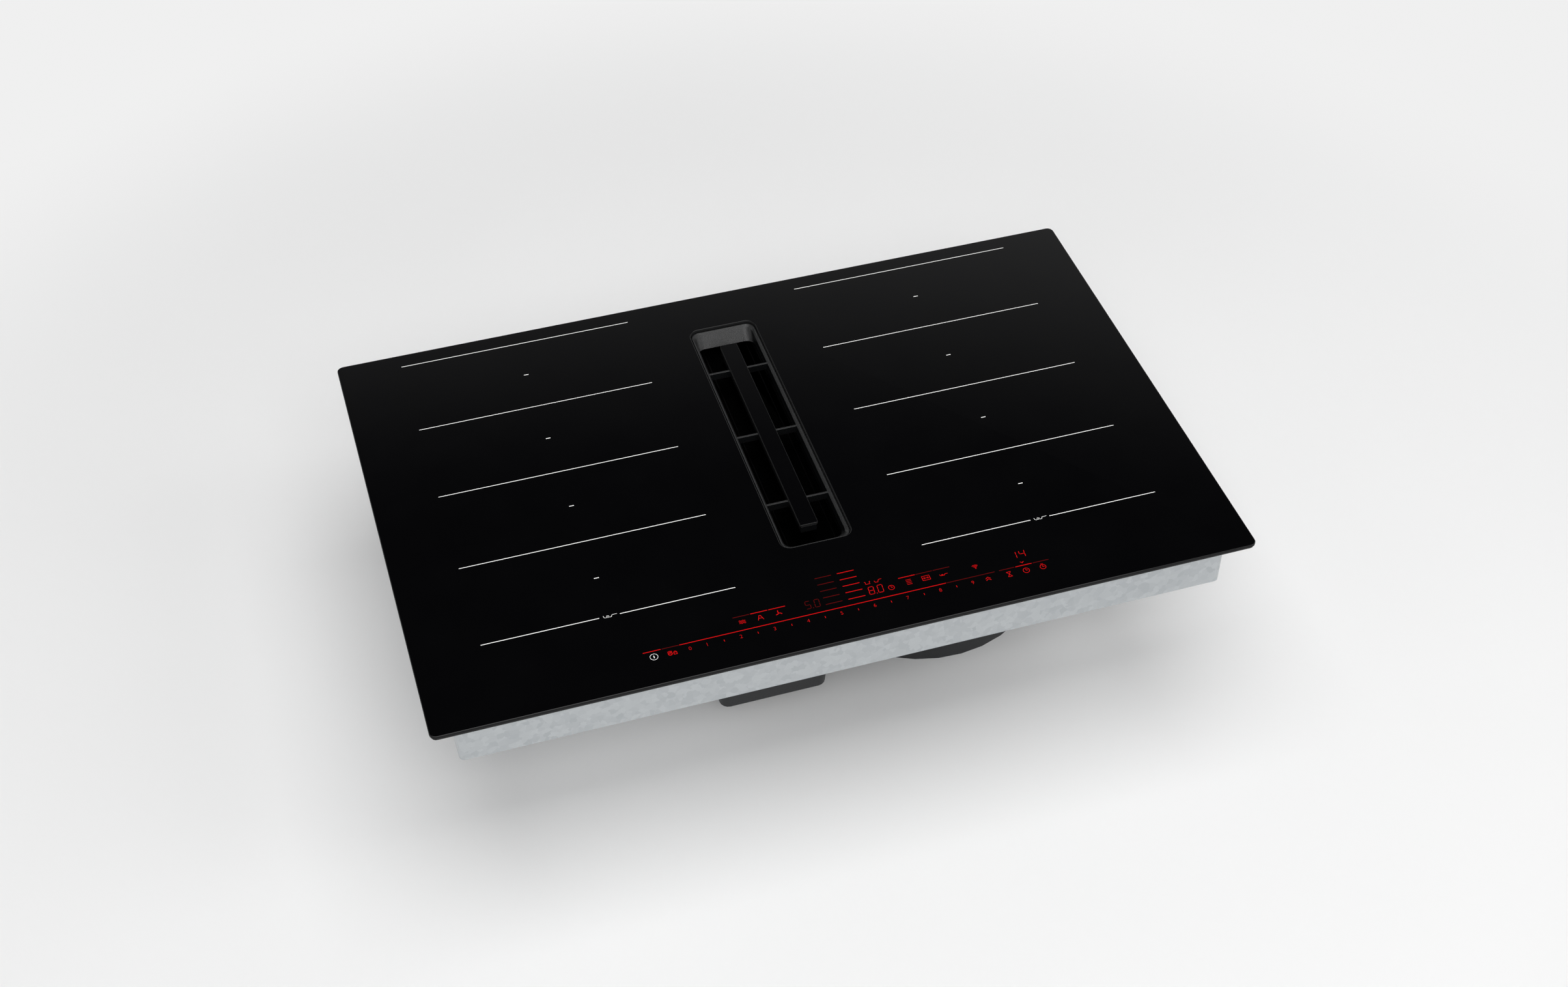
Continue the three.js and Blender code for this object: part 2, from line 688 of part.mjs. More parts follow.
addPiece("cassette_frame", cassetteFrame(), stainless);
SIDES.forEach(([name, side]) => addPiece(`filter_mat_${name}`, filterMat(side), stainless));
addPiece("condensate_tray", condensateTray(), mouldedBlack);

// ---------------------------------------------------------------- air shaft

function airShaft() {
  const flange = slab(
    roundedRect(grown(throatHalf, SHAFT_FLANGE), throatCorner + SHAFT_WALL, 0, ventY),
    shaftTop - SHAFT_FLANGE_THICK,
    shaftTop,
  );
  const throat = slab(
    roundedRect(grown(throatHalf, SHAFT_WALL), throatCorner + SHAFT_WALL, 0, ventY),
    ledgeTop - SHAFT_LEDGE_THICK,
    shaftTop,
  );
  const channel = slab(
    roundedRect(channelOuter, channelOuterCorner, 0, ventY),
    coverUnder,
    ledgeTop,
  );
  const foot = slab(
    roundedRect(grown(channelOuter, SHAFT_FOOT), channelOuterCorner + SHAFT_WALL, 0, ventY),
    trayFloor + FIT,
    trayFloor + FIT + SHAFT_FLANGE_THICK,
  );
  const throatBore = slab(roundedRect(throatHalf, throatCorner, 0, ventY), ledgeTop, shaftTop + OVERCUT);
  const channelBore = slab(
    roundedRect(channelHalf, CHANNEL_CORNER, 0, ventY),
    coverUnder - OVERCUT,
    ledgeTop + OVERCUT,
  );
  const shelfHalf = grown(channelHalf, SHAFT_WALL / 2);
  const shelfOutline = roundedRect(shelfHalf, CHANNEL_CORNER + SHAFT_WALL / 2, 0, ventY, 3);
  const shelfReach = channelHalf.y - SHAFT_SHELF;
  const between = block(
    -channelOuter.x,
    channelOuter.x,
    ventY - shelfReach,
    ventY + shelfReach,
    shelfTop - SHAFT_SHELF_THICK - OVERCUT,
    shelfTop + OVERCUT,
  );
  const shelves = cut(slab(shelfOutline, shelfTop - SHAFT_SHELF_THICK, shelfTop), between);
  return joined(cut(joined(flange, throat, channel, foot), throatBore, channelBore), shelves);
}

function shaftSeal() {
  const outer = grown(throatHalf, SHAFT_FLANGE - ROOT);
  const inner = grown(throatHalf, SHAFT_WALL - ROOT);
  const bottom = shaftTop + FIT;
  return slab(roundedRect(outer, throatCorner + SHAFT_WALL, 0, ventY), bottom, bottom + SHAFT_SEAL_THICK, [
    roundedRect(inner, throatCorner + SHAFT_WALL - ROOT, 0, ventY),
  ]);
}

addPiece("air_shaft", airShaft(), mouldedBlack);
addPiece("shaft_seal", shaftSeal(), rubber);

// ---------------------------------------------------------------- steel tray

const terminalY = trayDepth / 2 - SHEET - GLAND_LIP - FIT - TERMINAL_DEPTH / 2 - TERMINAL_PLAY;
const glandZ = trayFloor + TERMINAL_HEIGHT / 2 + FIT;

// Screws through the ears of the plenum, its cover and the floor of the tray.
const earSpots = SIDES.flatMap(([, side]) =>
  [-1, 1].map((end) => ({
    x: PLENUM_X + side * (PLENUM_WIDTH / 2 + EAR_OUT),
    y: plenumY + end * EAR_SPREAD,
  })),
);

function earBores(bottom, top) {
  return earSpots.map(({ x, y }) => rod(x, y, SCREW_RADIUS + FIT, bottom, top, 8));
}

function intakeSlots() {
  return SIDES.flatMap(([, side]) =>
    Array.from({ length: INTAKE_ROWS }, (_, i) => {
      const off = (i - (INTAKE_ROWS - 1) / 2) * INTAKE_PITCH;
      const x = side * COOLER_X + off;
      const reach = Math.sqrt(COOLER_BORE ** 2 - (Math.abs(off) + SLOT_WIDTH / 2) ** 2) - INTAKE_EDGE;
      return block(
        x - SLOT_WIDTH / 2,
        x + SLOT_WIDTH / 2,
        coolerY - reach,
        coolerY + reach,
        trayBottom - OVERCUT,
        trayFloor + OVERCUT / 4,
      );
    }),
  );
}

function exhaustSlots() {
  const back = trayDepth / 2;
  return SIDES.flatMap(([, side]) =>
    Array.from({ length: EXHAUST_SLOTS }, (_, i) => {
      const x = side * EXHAUST_X + (i - (EXHAUST_SLOTS - 1) / 2) * EXHAUST_PITCH;
      return [0, 1].map((row) => {
        const z = trayFloor + EXHAUST_SILL + row * EXHAUST_RISE;
        return block(
          x - EXHAUST_SLOT_LENGTH / 2,
          x + EXHAUST_SLOT_LENGTH / 2,
          back - SHEET - OVERCUT / 4,
          back + OVERCUT,
          z - SLOT_WIDTH / 2,
          z + SLOT_WIDTH / 2,
        );
      });
    }).flat(),
  );
}

function baseTray() {
  const half = { x: trayWidth / 2, y: trayDepth / 2 };
  const inside = grown(half, -SHEET);
  const shell = slab(roundedRect(half, TRAY_CORNER, 0, 0, 4), trayBottom, trayTop);
  const flange = slab(
    roundedRect(grown(half, TRAY_FLANGE), TRAY_CORNER + TRAY_FLANGE, 0, 0, 4),
    trayTop - SHEET,
    trayTop,
  );
  const hollow = slab(
    roundedRect(inside, TRAY_CORNER - SHEET, 0, 0, 4),
    trayFloor,
    trayTop + OVERCUT,
  );
  const shaftHole = slab(
    roundedRect(grown(channelOuter, SHAFT_HOLE_PLAY), channelOuterCorner + SHAFT_HOLE_PLAY, 0, ventY),
    trayBottom - OVERCUT,
    trayFloor + OVERCUT / 2,
  );
  const glandHole = beam(
    circle(terminalX, glandZ, GLAND_NECK + FIT, 20),
    half.y - SHEET - OVERCUT,
    half.y + OVERCUT,
  );
  return cut(
    joined(shell, flange),
    hollow,
    shaftHole,
    glandHole,
    ...earBores(trayBottom - OVERCUT, trayFloor + OVERCUT),
    ...intakeSlots(),
    ...exhaustSlots(),
  );
}

addPiece("base_tray", baseTray(), zincSteel);

// ---------------------------------------------------------------- induction fields

const coilSpots = Array.from(
  { length: COILS_PER_FIELD },
  (_, i) => zoneY + (i - (COILS_PER_FIELD - 1) / 2) * zonePitch,
);
const coilHole = grown(coilHalf, -COIL_BAND);

function coil(x, y) {
  return slab(roundedRect(coilHalf, coilHalf.y - COIL_SQUARE, x, y, 6), coilTop - COIL_THICK, coilTop, [
    roundedRect(coilHole, coilHole.y - COIL_SQUARE, x, y, 4),
  ]);
}

const formerHalf = { x: coilHalf.x + FORMER_EDGE, y: fieldHalf.y - FORMER_END };

function coilFormer(x) {
  const plate = slab(
    roundedRect(formerHalf, FORMER_CORNER, x, zoneY),
    formerTop - FORMER_THICK,
    formerTop,
  );
  const coreHalf = grown(coilHole, -FIT * 3);
  const cores = coilSpots.map((y) =>
    slab(roundedRect(coreHalf, coreHalf.y - COIL_SQUARE, x, y, 3), formerTop - ROOT, coilTop - FIT * 3),
  );
  const wells = coilSpots.map((y) => rod(x, y, SENSOR_WELL, formerTop + ROOT, coilTop + OVERCUT, 10));
  return cut(joined(plate, ...cores), ...wells);
}

function micaSheet(x) {
  return slab(roundedRect(formerHalf, FORMER_CORNER, x, zoneY, 3), micaTop - MICA_THICK, micaTop);
}

// A sheet with both long sides folded down to the floor of the tray, with windows for the cooling
// air.
function coilPlate(x) {
  const feet = trayFloor + FIT;
  const wall = COIL_PLATE_THICK;
  const outline = [
    [-fieldHalf.x, feet],
    [-fieldHalf.x + wall, feet],
    [-fieldHalf.x + wall, platesUnder],
    [fieldHalf.x - wall, platesUnder],
    [fieldHalf.x - wall, feet],
    [fieldHalf.x, feet],
    [fieldHalf.x, platesTop],
    [-fieldHalf.x, platesTop],
  ].map(([dx, z]) => new THREE.Vector2(x + dx, z));
  const sheet = beam(outline, zoneY - fieldHalf.y, zoneY + fieldHalf.y);
  const windowHalf = zonePitch / 2 - PLATE_WINDOW_MARGIN;
  const windows = coilSpots.map((y) =>
    block(
      x - fieldHalf.x - OVERCUT,
      x + fieldHalf.x + OVERCUT,
      y - windowHalf,
      y + windowHalf,
      feet + PLATE_WINDOW_SILL,
      feet + PLATE_WINDOW_SILL + PLATE_WINDOW_HEIGHT,
    ),
  );
  return cut(sheet, ...windows);
}

SIDES.forEach(([name, side]) => {
  const x = side * zoneX;
  addPiece(`coil_plate_${name}`, coilPlate(x), aluminium);
  addPiece(`coil_former_${name}`, coilFormer(x), greyPlastic);
  coilSpots.forEach((y, i) => addPiece(`coil_${name}_${i + 1}`, coil(x, y), copper));
  addPiece(`mica_sheet_${name}`, micaSheet(x), mica);
});

// ---------------------------------------------------------------- power electronics

function powerBoard(x, side) {
  const under = boardTop - BOARD_THICK;
  const half = { x: boardWidth / 2, y: BOARD_DEPTH / 2 };
  const board = block(x - half.x, x + half.x, boardY - half.y, boardY + half.y, under, boardTop);
  const standoffs = [-1, 1].flatMap((i) =>
    [-1, 1].map((j) => {
      const spot = { x: x + i * (half.x - BOARD_EDGE), y: boardY + j * (half.y - BOARD_EDGE) };
      return rod(spot.x, spot.y, STANDOFF_RADIUS, trayFloor + FIT, under + BOARD_THICK / 2, 8);
    }),
  );
  const foot = boardTop - BOARD_THICK / 2;
  const capacitors = [-1, 0, 1].map((i) => {
    const spot = { x: x + side * CAPACITOR_OUT, y: boardY + CAPACITOR_BACK + i * CAPACITOR_PITCH };
    return rod(spot.x, spot.y, CAPACITOR_RADIUS, foot, boardTop + CAPACITOR_HEIGHT, 14);
  });
  const chokes = [-1, 1].map((i) =>
    turned(
      [
        [CHOKE_BORE, foot],
        [CHOKE_RADIUS, foot],
        [CHOKE_RADIUS, boardTop + CHOKE_HEIGHT],
        [CHOKE_BORE, boardTop + CHOKE_HEIGHT],
        [CHOKE_BORE, foot],
      ],
      x - side * CHOKE_IN,
      boardY + CHOKE_BACK + i * CHOKE_SPREAD,
      14,
    ),
  );
  return joined(board, ...standoffs, ...capacitors, ...chokes);
}

function heatSink(x) {
  const bottom = boardTop + FIT;
  const front = boardY - BOARD_DEPTH / 2 + SINK_FRONT;
  const back = front + SINK_WIDTH;
  const base = block(x - SINK_LENGTH / 2, x + SINK_LENGTH / 2, front, back, bottom, bottom + SINK_BASE);
  const pitch = (SINK_WIDTH - FIN_THICK) / (SINK_FINS - 1);
  const fins = Array.from({ length: SINK_FINS }, (_, i) =>
    block(
      x - SINK_LENGTH / 2,
      x + SINK_LENGTH / 2,
      front + i * pitch,
      front + i * pitch + FIN_THICK,
      bottom + SINK_BASE / 2,
      bottom + SINK_HEIGHT,
    ),
  );
  return joined(base, ...fins);
}

SIDES.forEach(([name, side]) => {
  addPiece(`power_board_${name}`, powerBoard(side * zoneX, side), circuit);
  addPiece(`heat_sink_${name}`, heatSink(side * zoneX), aluminium);
});

// ---------------------------------------------------------------- cooling fans

const coolerBottom = trayFloor + FIT;
const coolerTop = coolerBottom + COOLER_HEIGHT;
const coolerHubTop = coolerBottom + COOLER_HUB_HEIGHT;
const coolerPinTop = coolerTop - COOLER_PIN_DROP;

function coolerFrame(x) {
  const half = { x: COOLER_SIZE / 2, y: COOLER_SIZE / 2 };
  const shroud = slab(roundedRect(half, COOLER_CORNER, x, coolerY, 3), coolerBottom, coolerTop, [
    circle(x, coolerY, COOLER_BORE, 32),
  ]);
  const reach = COOLER_BORE + ROOT;
  const edge = COOLER_STRUT_WIDTH / 2;
  const struts = [0, 90].map((angle) => {
    const strut = block(-reach, reach, -edge, edge, coolerBottom, coolerBottom + COOLER_STRUT_THICK);
    return strut.rotateZ((angle + 45) * DEGREE).translate(x, coolerY, 0);
  });
  const hub = rod(x, coolerY, COOLER_HUB, coolerBottom, coolerHubTop, 20);
  const pin = rod(x, coolerY, COOLER_PIN, coolerBottom, coolerPinTop, 8);
  return joined(shroud, ...struts, hub, pin);
}

function coolerRotor(x) {
  const bottom = coolerHubTop + FIT;
  const top = coolerTop - COOLER_ROTOR_DROP;
  const tip = COOLER_BORE - COOLER_TIP_GAP;
  const root = COOLER_HUB - 2 * ROOT;
  const cap = rod(x, coolerY, COOLER_HUB, bottom, top, 20);
  const bore = rod(x, coolerY, COOLER_PIN + FIT, bottom - OVERCUT, coolerPinTop + FIT, 8);
  const blades = Array.from({ length: COOLER_BLADES }, (_, i) => {
    const blade = new THREE.BoxGeometry(tip - root, COOLER_BLADE_CHORD, COOLER_BLADE_THICK);
    blade.rotateX(COOLER_BLADE_LEAN * DEGREE).translate((tip + root) / 2, 0, (bottom + top) / 2);
    return blade.rotateZ((i * 360 * DEGREE) / COOLER_BLADES).translate(x, coolerY, 0);
  });
  return cut(joined(cap, ...blades), bore);
}

SIDES.forEach(([name, side]) => {
  addPiece(`cooling_fan_frame_${name}`, coolerFrame(side * COOLER_X), mouldedBlack);
  addPiece(`cooling_fan_rotor_${name}`, coolerRotor(side * COOLER_X), mouldedBlack);
});

// ---------------------------------------------------------------- touch control

const touchTop = glassUnder - FIT;
const touchHalf = { x: TOUCH_WIDTH / 2, y: TOUCH_DEPTH / 2 };

function touchCarrier() {
  const bottom = touchTop - TOUCH_HEIGHT;
  const shell = slab(roundedRect(touchHalf, TOUCH_CORNER, TOUCH_X, touchY, 2), bottom, touchTop);
  const pocket = slab(
    roundedRect(grown(touchHalf, -TOUCH_WALL), TOUCH_CORNER - TOUCH_WALL, TOUCH_X, touchY, 2),
    bottom + TOUCH_WALL,
    touchTop + OVERCUT,
  );
  const legs = [-1, 1].flatMap((i) =>
    [-1, 1].map((j) => {
      const x = TOUCH_X + i * (touchHalf.x - 2 * TOUCH_LEG);
      const y = touchY + j * (touchHalf.y - TOUCH_LEG);
      const half = TOUCH_LEG / 2;
      return block(x - half, x + half, y - half, y + half, trayFloor + FIT, bottom + ROOT);
    }),
  );
  return joined(cut(shell, pocket), ...legs);
}

function touchBoard() {
  const bottom = touchTop - TOUCH_HEIGHT + TOUCH_WALL + FIT;
  const half = grown(touchHalf, -TOUCH_WALL - FIT * 2);
  const board = block(
    TOUCH_X - half.x,
    TOUCH_X + half.x,
    touchY - half.y,
    touchY + half.y,
    bottom,
    bottom + BOARD_THICK,
  );
  const lampTop = bottom + BOARD_THICK + LAMP_ROW_HEIGHT;
  const rowHalf = touchHalf.x - LAMP_ROW_INSET;
  const rowFront = touchY - touchHalf.y + LAMP_ROW_FRONT;
  const rowBack = rowFront + LAMP_ROW_DEPTH;
  const slider = block(TOUCH_X - rowHalf, TOUCH_X + rowHalf, rowFront, rowBack, bottom + ROOT, lampTop);
  const display = block(
    TOUCH_X - DISPLAY_WIDTH / 2,
    TOUCH_X + DISPLAY_WIDTH / 2,
    touchY,
    touchY + DISPLAY_DEPTH,
    bottom + ROOT,
    lampTop,
  );
  return joined(board, slider, display);
}

addPiece("touch_carrier", touchCarrier(), greyPlastic);
addPiece("touch_board", touchBoard(), circuit);

// ---------------------------------------------------------------- mains connection

function terminalBox() {
  const half = { x: TERMINAL_WIDTH / 2, y: TERMINAL_DEPTH / 2 };
  const bottom = trayFloor + FIT;
  const outline = roundedRect(half, TERMINAL_CORNER, terminalX, terminalY, 2);
  const shell = slab(outline, bottom, bottom + TERMINAL_HEIGHT);
  const inside = slab(
    roundedRect(grown(half, -TERMINAL_WALL), TERMINAL_CORNER - TERMINAL_WALL, terminalX, terminalY, 2),
    bottom + TERMINAL_WALL,
    bottom + TERMINAL_HEIGHT + OVERCUT,
  );
  const entry = beam(circle(terminalX, glandZ, GLAND_BORE, 16), terminalY, terminalY + TERMINAL_DEPTH);
  const terminals = block(
    terminalX - half.x + TERMINAL_BLOCK_MARGIN,
    terminalX + half.x - TERMINAL_BLOCK_MARGIN,
    terminalY - TERMINAL_BLOCK_DEPTH / 2,
    terminalY + TERMINAL_BLOCK_DEPTH / 2,
    bottom + ROOT,
    bottom + TERMINAL_BLOCK_HEIGHT,
  );
  return joined(cut(shell, inside, entry), terminals);
}

// A grommet whose neck passes through the back wall of the tray.
function mainsGland() {
  const wall = trayDepth / 2;
  const inner = wall - SHEET - FIT;
  const outer = wall + FIT;
  const disc = (radius, from, to) => beam(circle(terminalX, glandZ, radius, 14), from, to);
  const body = joined(
    disc(GLAND_RADIUS, inner - GLAND_LIP, inner),
    disc(GLAND_NECK, inner - ROOT, outer + ROOT),
    disc(GLAND_RADIUS, outer, outer + GLAND_LIP),
    disc(GLAND_NECK - GLAND_STEP, outer + ROOT, outer + GLAND_SLEEVE),
  );
  return cut(body, disc(GLAND_BORE, inner - GLAND_LIP - OVERCUT, outer + GLAND_SLEEVE + OVERCUT));
}

addPiece("mains_terminal_box", terminalBox(), greyPlastic);
addPiece("mains_gland", mainsGland(), rubber);

// ---------------------------------------------------------------- plenum

const plenumHalf = { x: PLENUM_WIDTH / 2, y: plenumDepth / 2 };

function ears(bottom, top) {
  return earSpots.map(({ x, y }) => {
    const inward = Math.sign(PLENUM_X - x) * EAR_RADIUS;
    return joined(
      rod(x, y, EAR_RADIUS, bottom, top, 12),
      block(Math.min(x, x + inward), Math.max(x, x + inward), y - EAR_RADIUS, y + EAR_RADIUS, bottom, top),
    );
  });
}

function plenumCover() {
  const plate = slab(roundedRect(plenumHalf, PLENUM_CORNER, PLENUM_X, plenumY), coverUnder, coverTop);
  const hole = slab(
    roundedRect(grown(channelOuter, FIT), channelOuterCorner + FIT, 0, ventY),
    coverUnder - OVERCUT,
    coverTop + OVERCUT,
  );
  return cut(
    joined(plate, ...ears(coverUnder, coverTop)),
    hole,
    ...earBores(coverUnder - OVERCUT, coverTop + OVERCUT),
  );
}

const collarHalf = grown(tankInner, -collarInset);
const collarCorner = Math.max(tankInnerCorner - collarInset, SMALL_CORNER);

// Upright ribs on the front and side walls of the plenum.
function plenumRibs() {
  const bottom = plenumUnder;
  const top = plenumTop - EAR_THICK;
  const ribs = [];
  const countX = Math.floor((plenumHalf.x - PLENUM_CORNER) / RIB_STEP);
  for (let i = -countX; i <= countX; i++) {
    const x = PLENUM_X + i * RIB_STEP;
    const y = plenumY - plenumHalf.y;
    ribs.push(block(x - RIB_WALL / 2, x + RIB_WALL / 2, y - RIB_OUT, y + ROOT, bottom, top));
  }
  const countY = Math.floor((plenumHalf.y - PLENUM_CORNER) / RIB_STEP);
  for (let i = -countY; i <= countY; i++) {
    const y = plenumY + i * RIB_STEP;
    const left = PLENUM_X - plenumHalf.x;
    const right = PLENUM_X + plenumHalf.x;
    ribs.push(block(left - RIB_OUT, left + ROOT, y - RIB_WALL / 2, y + RIB_WALL / 2, bottom, top));
    ribs.push(block(right - ROOT, right + RIB_OUT, y - RIB_WALL / 2, y + RIB_WALL / 2, bottom, top));
  }
  return ribs;
}

function plenumHousing() {
  const shell = slab(roundedRect(plenumHalf, PLENUM_CORNER, PLENUM_X, plenumY), plenumUnder, plenumTop);
  const inside = slab(
    roundedRect(grown(plenumHalf, -MOULD_WALL), PLENUM_CORNER - MOULD_WALL, PLENUM_X, plenumY),
    plenumFloor,
    plenumTop + OVERCUT,
  );
  const collarOutline = roundedRect(collarHalf, collarCorner, TANK_X, tankY);
  const collar = slab(collarOutline, plenumUnder - COLLAR_HEIGHT, plenumUnder + ROOT);
  const drainCorner = Math.max(collarCorner - COLLAR_WALL, SMALL_CORNER);
  const drain = slab(
    roundedRect(grown(collarHalf, -COLLAR_WALL), drainCorner, TANK_X, tankY),
    plenumUnder - COLLAR_HEIGHT - OVERCUT,
    plenumFloor + OVERCUT,
  );
  const inletRadius = BELL_RADIUS + BELL_WALL + FIT;
  const inlet = rod(BLOWER_X, blowerY, inletRadius, plenumUnder - OVERCUT, plenumFloor + OVERCUT, 32);
  const lugs = ears(plenumTop - EAR_THICK, plenumTop);
  return cut(
    joined(cut(joined(shell, ...plenumRibs(), ...lugs), inside), collar),
    drain,
    inlet,
    ...earBores(plenumTop - EAR_THICK - OVERCUT, plenumTop + OVERCUT),
  );
}

function housingScrew({ x, y }) {
  const under = plenumTop - EAR_THICK - FIT;
  return joined(
    rod(x, y, SCREW_HEAD_RADIUS, under - SCREW_HEAD, under, 6),
    rod(x, y, SCREW_RADIUS, under - ROOT, trayFloor + SCREW_OUT, 10),
  );
}

addPiece("plenum_cover", plenumCover(), mouldedBlack);
addPiece("plenum_housing", plenumHousing(), mouldedBlack);
earSpots.forEach((spot, i) => addPiece(`housing_screw_${i + 1}`, housingScrew(spot), zincSteel));

// ---------------------------------------------------------------- blower

// The spiral widens evenly from the tongue round to the exit, where it runs straight to the back.
function spiralPoint(angle, extra) {
  const turned = (angle - TONGUE_ANGLE) / (360 - TONGUE_ANGLE);
  const radius = TONGUE_RADIUS + (EXIT_RADIUS - TONGUE_RADIUS) * turned + extra;
  return new THREE.Vector2(
    BLOWER_X + radius * Math.cos(angle * DEGREE),
    blowerY + radius * Math.sin(angle * DEGREE),
  );
}

function spiral(extra) {
  const steps = 30;
  return Array.from({ length: steps + 1 }, (_, i) =>
    spiralPoint(TONGUE_ANGLE + ((360 - TONGUE_ANGLE) * i) / steps, extra),
  );
}

const ductRight = BLOWER_X + EXIT_RADIUS;
const ductLeft = ductRight - DUCT_WIDTH + 2 * DUCT_WALL;

// The duct part of the scroll, between the straight right wall and the curved left one.
function diffuser(extra, rear) {
  const [tongue] = spiral(0);
  const bend = new THREE.QuadraticBezierCurve(
    new THREE.Vector2(ductLeft - extra, scrollRear),
    new THREE.Vector2(BLOWER_X + BEND_X - extra, blowerY + BEND_Y + extra),
    new THREE.Vector2(tongue.x - extra, tongue.y + extra),
  );
  return [
    new THREE.Vector2(BLOWER_X, blowerY),
    new THREE.Vector2(ductRight + extra, blowerY),
    new THREE.Vector2(ductRight + extra, rear),
    new THREE.Vector2(ductLeft - extra, rear),
    ...bend.getPoints(8).slice(rear > scrollRear ? 0 : 1),
  ];
}

const lugSpots = LUG_ANGLES.map((angle) => spiralPoint(angle, MOULD_WALL + LUG_OUT));

function scrollHousing() {
  const outside = joined(
    slab(spiral(MOULD_WALL), applianceBottom, scrollTop),
    slab(diffuser(MOULD_WALL, scrollRear), applianceBottom, scrollTop),
    ...lugSpots.map(({ x, y }) => rod(x, y, LUG_RADIUS, scrollTop - LUG_THICK, scrollTop, 14)),
  );
  const bores = lugSpots.map(({ x, y }) =>
    rod(x, y, SCREW_RADIUS + FIT, scrollTop - LUG_THICK - OVERCUT, scrollTop + OVERCUT, 8),
  );
  return cut(
    outside,
    slab(spiral(0), scrollFloor, scrollTop + OVERCUT),
    slab(diffuser(0, scrollRear + OVERCUT), scrollFloor, scrollTop + OVERCUT),
    ...bores,
  );
}

function outletFlange() {
  const middle = new THREE.Vector2((ductLeft + ductRight) / 2, (scrollFloor + scrollTop) / 2);
  const spigotHalf = { x: DUCT_WIDTH / 2, y: DUCT_HEIGHT / 2 };
  const plateHeight = scrollTop - applianceBottom - MOULD_WALL;
  const plateHalf = { x: DUCT_WIDTH / 2 + MOULD_WALL, y: plateHeight / 2 };
  const front = scrollRear + FIT;
  const plate = roundedRect(plateHalf, DUCT_PLATE_CORNER, middle.x, middle.y, 2);
  const spigot = roundedRect(spigotHalf, DUCT_CORNER, middle.x, middle.y);
  const bore = roundedRect(grown(spigotHalf, -DUCT_WALL), DUCT_CORNER - DUCT_WALL, middle.x, middle.y);
  return joined(
    beam(plate, front, front + DUCT_PLATE, [bore]),
    beam(spigot, front + ROOT, front + DUCT_REACH, [bore]),
  );
}

function inletBell() {
  const flangeUnder = plenumFloor + FIT;
  const flangeTop = flangeUnder + BELL_PLATE;
  const outer = BELL_RADIUS + BELL_WALL;
  const lip = plenumUnder - BELL_REACH;
  const round = arc(BELL_RADIUS + BELL_ROUND, flangeTop - BELL_ROUND, BELL_ROUND, 180, 90, 4);
  return turned(
    [
      [BELL_RADIUS + BELL_LIP, lip],
      [outer, lip],
      [outer, flangeUnder],
      [outer + BELL_FLANGE, flangeUnder],
      [outer + BELL_FLANGE, flangeTop],
      ...round.reverse().map((p) => [p.x, p.y]),
      [BELL_RADIUS + BELL_LIP, lip],
    ],
    BLOWER_X,
    blowerY,
    32,
  );
}

function fanMotor() {
  const base = scrollFloor + FIT;
  return turned(
    [
      [0, base],
      [MOTOR_BASE_RADIUS, base],
      [MOTOR_BASE_RADIUS, base + MOTOR_BASE],
      [MOTOR_RADIUS, base + MOTOR_BASE],
      [MOTOR_RADIUS, motorTop - MOTOR_BEVEL],
      [MOTOR_RADIUS - MOTOR_BEVEL, motorTop],
      [MOTOR_AXLE_RADIUS + FIT, motorTop],
      [MOTOR_AXLE_RADIUS + FIT, base + 2 * MOTOR_BASE],
      [0, base + 2 * MOTOR_BASE],
    ],
    BLOWER_X,
    blowerY,
    24,
  );
}

function motorAxle() {
  return rod(BLOWER_X, blowerY, MOTOR_AXLE_RADIUS, scrollFloor + 2 * FIT + 2 * MOTOR_BASE, axleTop, 12);
}

// A blade is a strip of a small circle, cut off where that circle meets the inner and the outer radius.
function bladeOutline(inner, outer) {
  const centre = IMPELLER_RADIUS - BLADE_CHORD / 2 - BLADE_SET;
  const angleAt = (radius) => {
    const cosine = (radius ** 2 - centre ** 2 - BLADE_BEND ** 2) / (2 * centre * BLADE_BEND);
    return Math.acos(cosine) / DEGREE;
  };
  const from = angleAt(outer);
  const to = angleAt(inner);
  return [
    ...arc(centre, 0, BLADE_BEND + BLADE_THICK / 2, from, to, 2),
    ...arc(centre, 0, BLADE_BEND - BLADE_THICK / 2, to, from, 2),
  ];
}

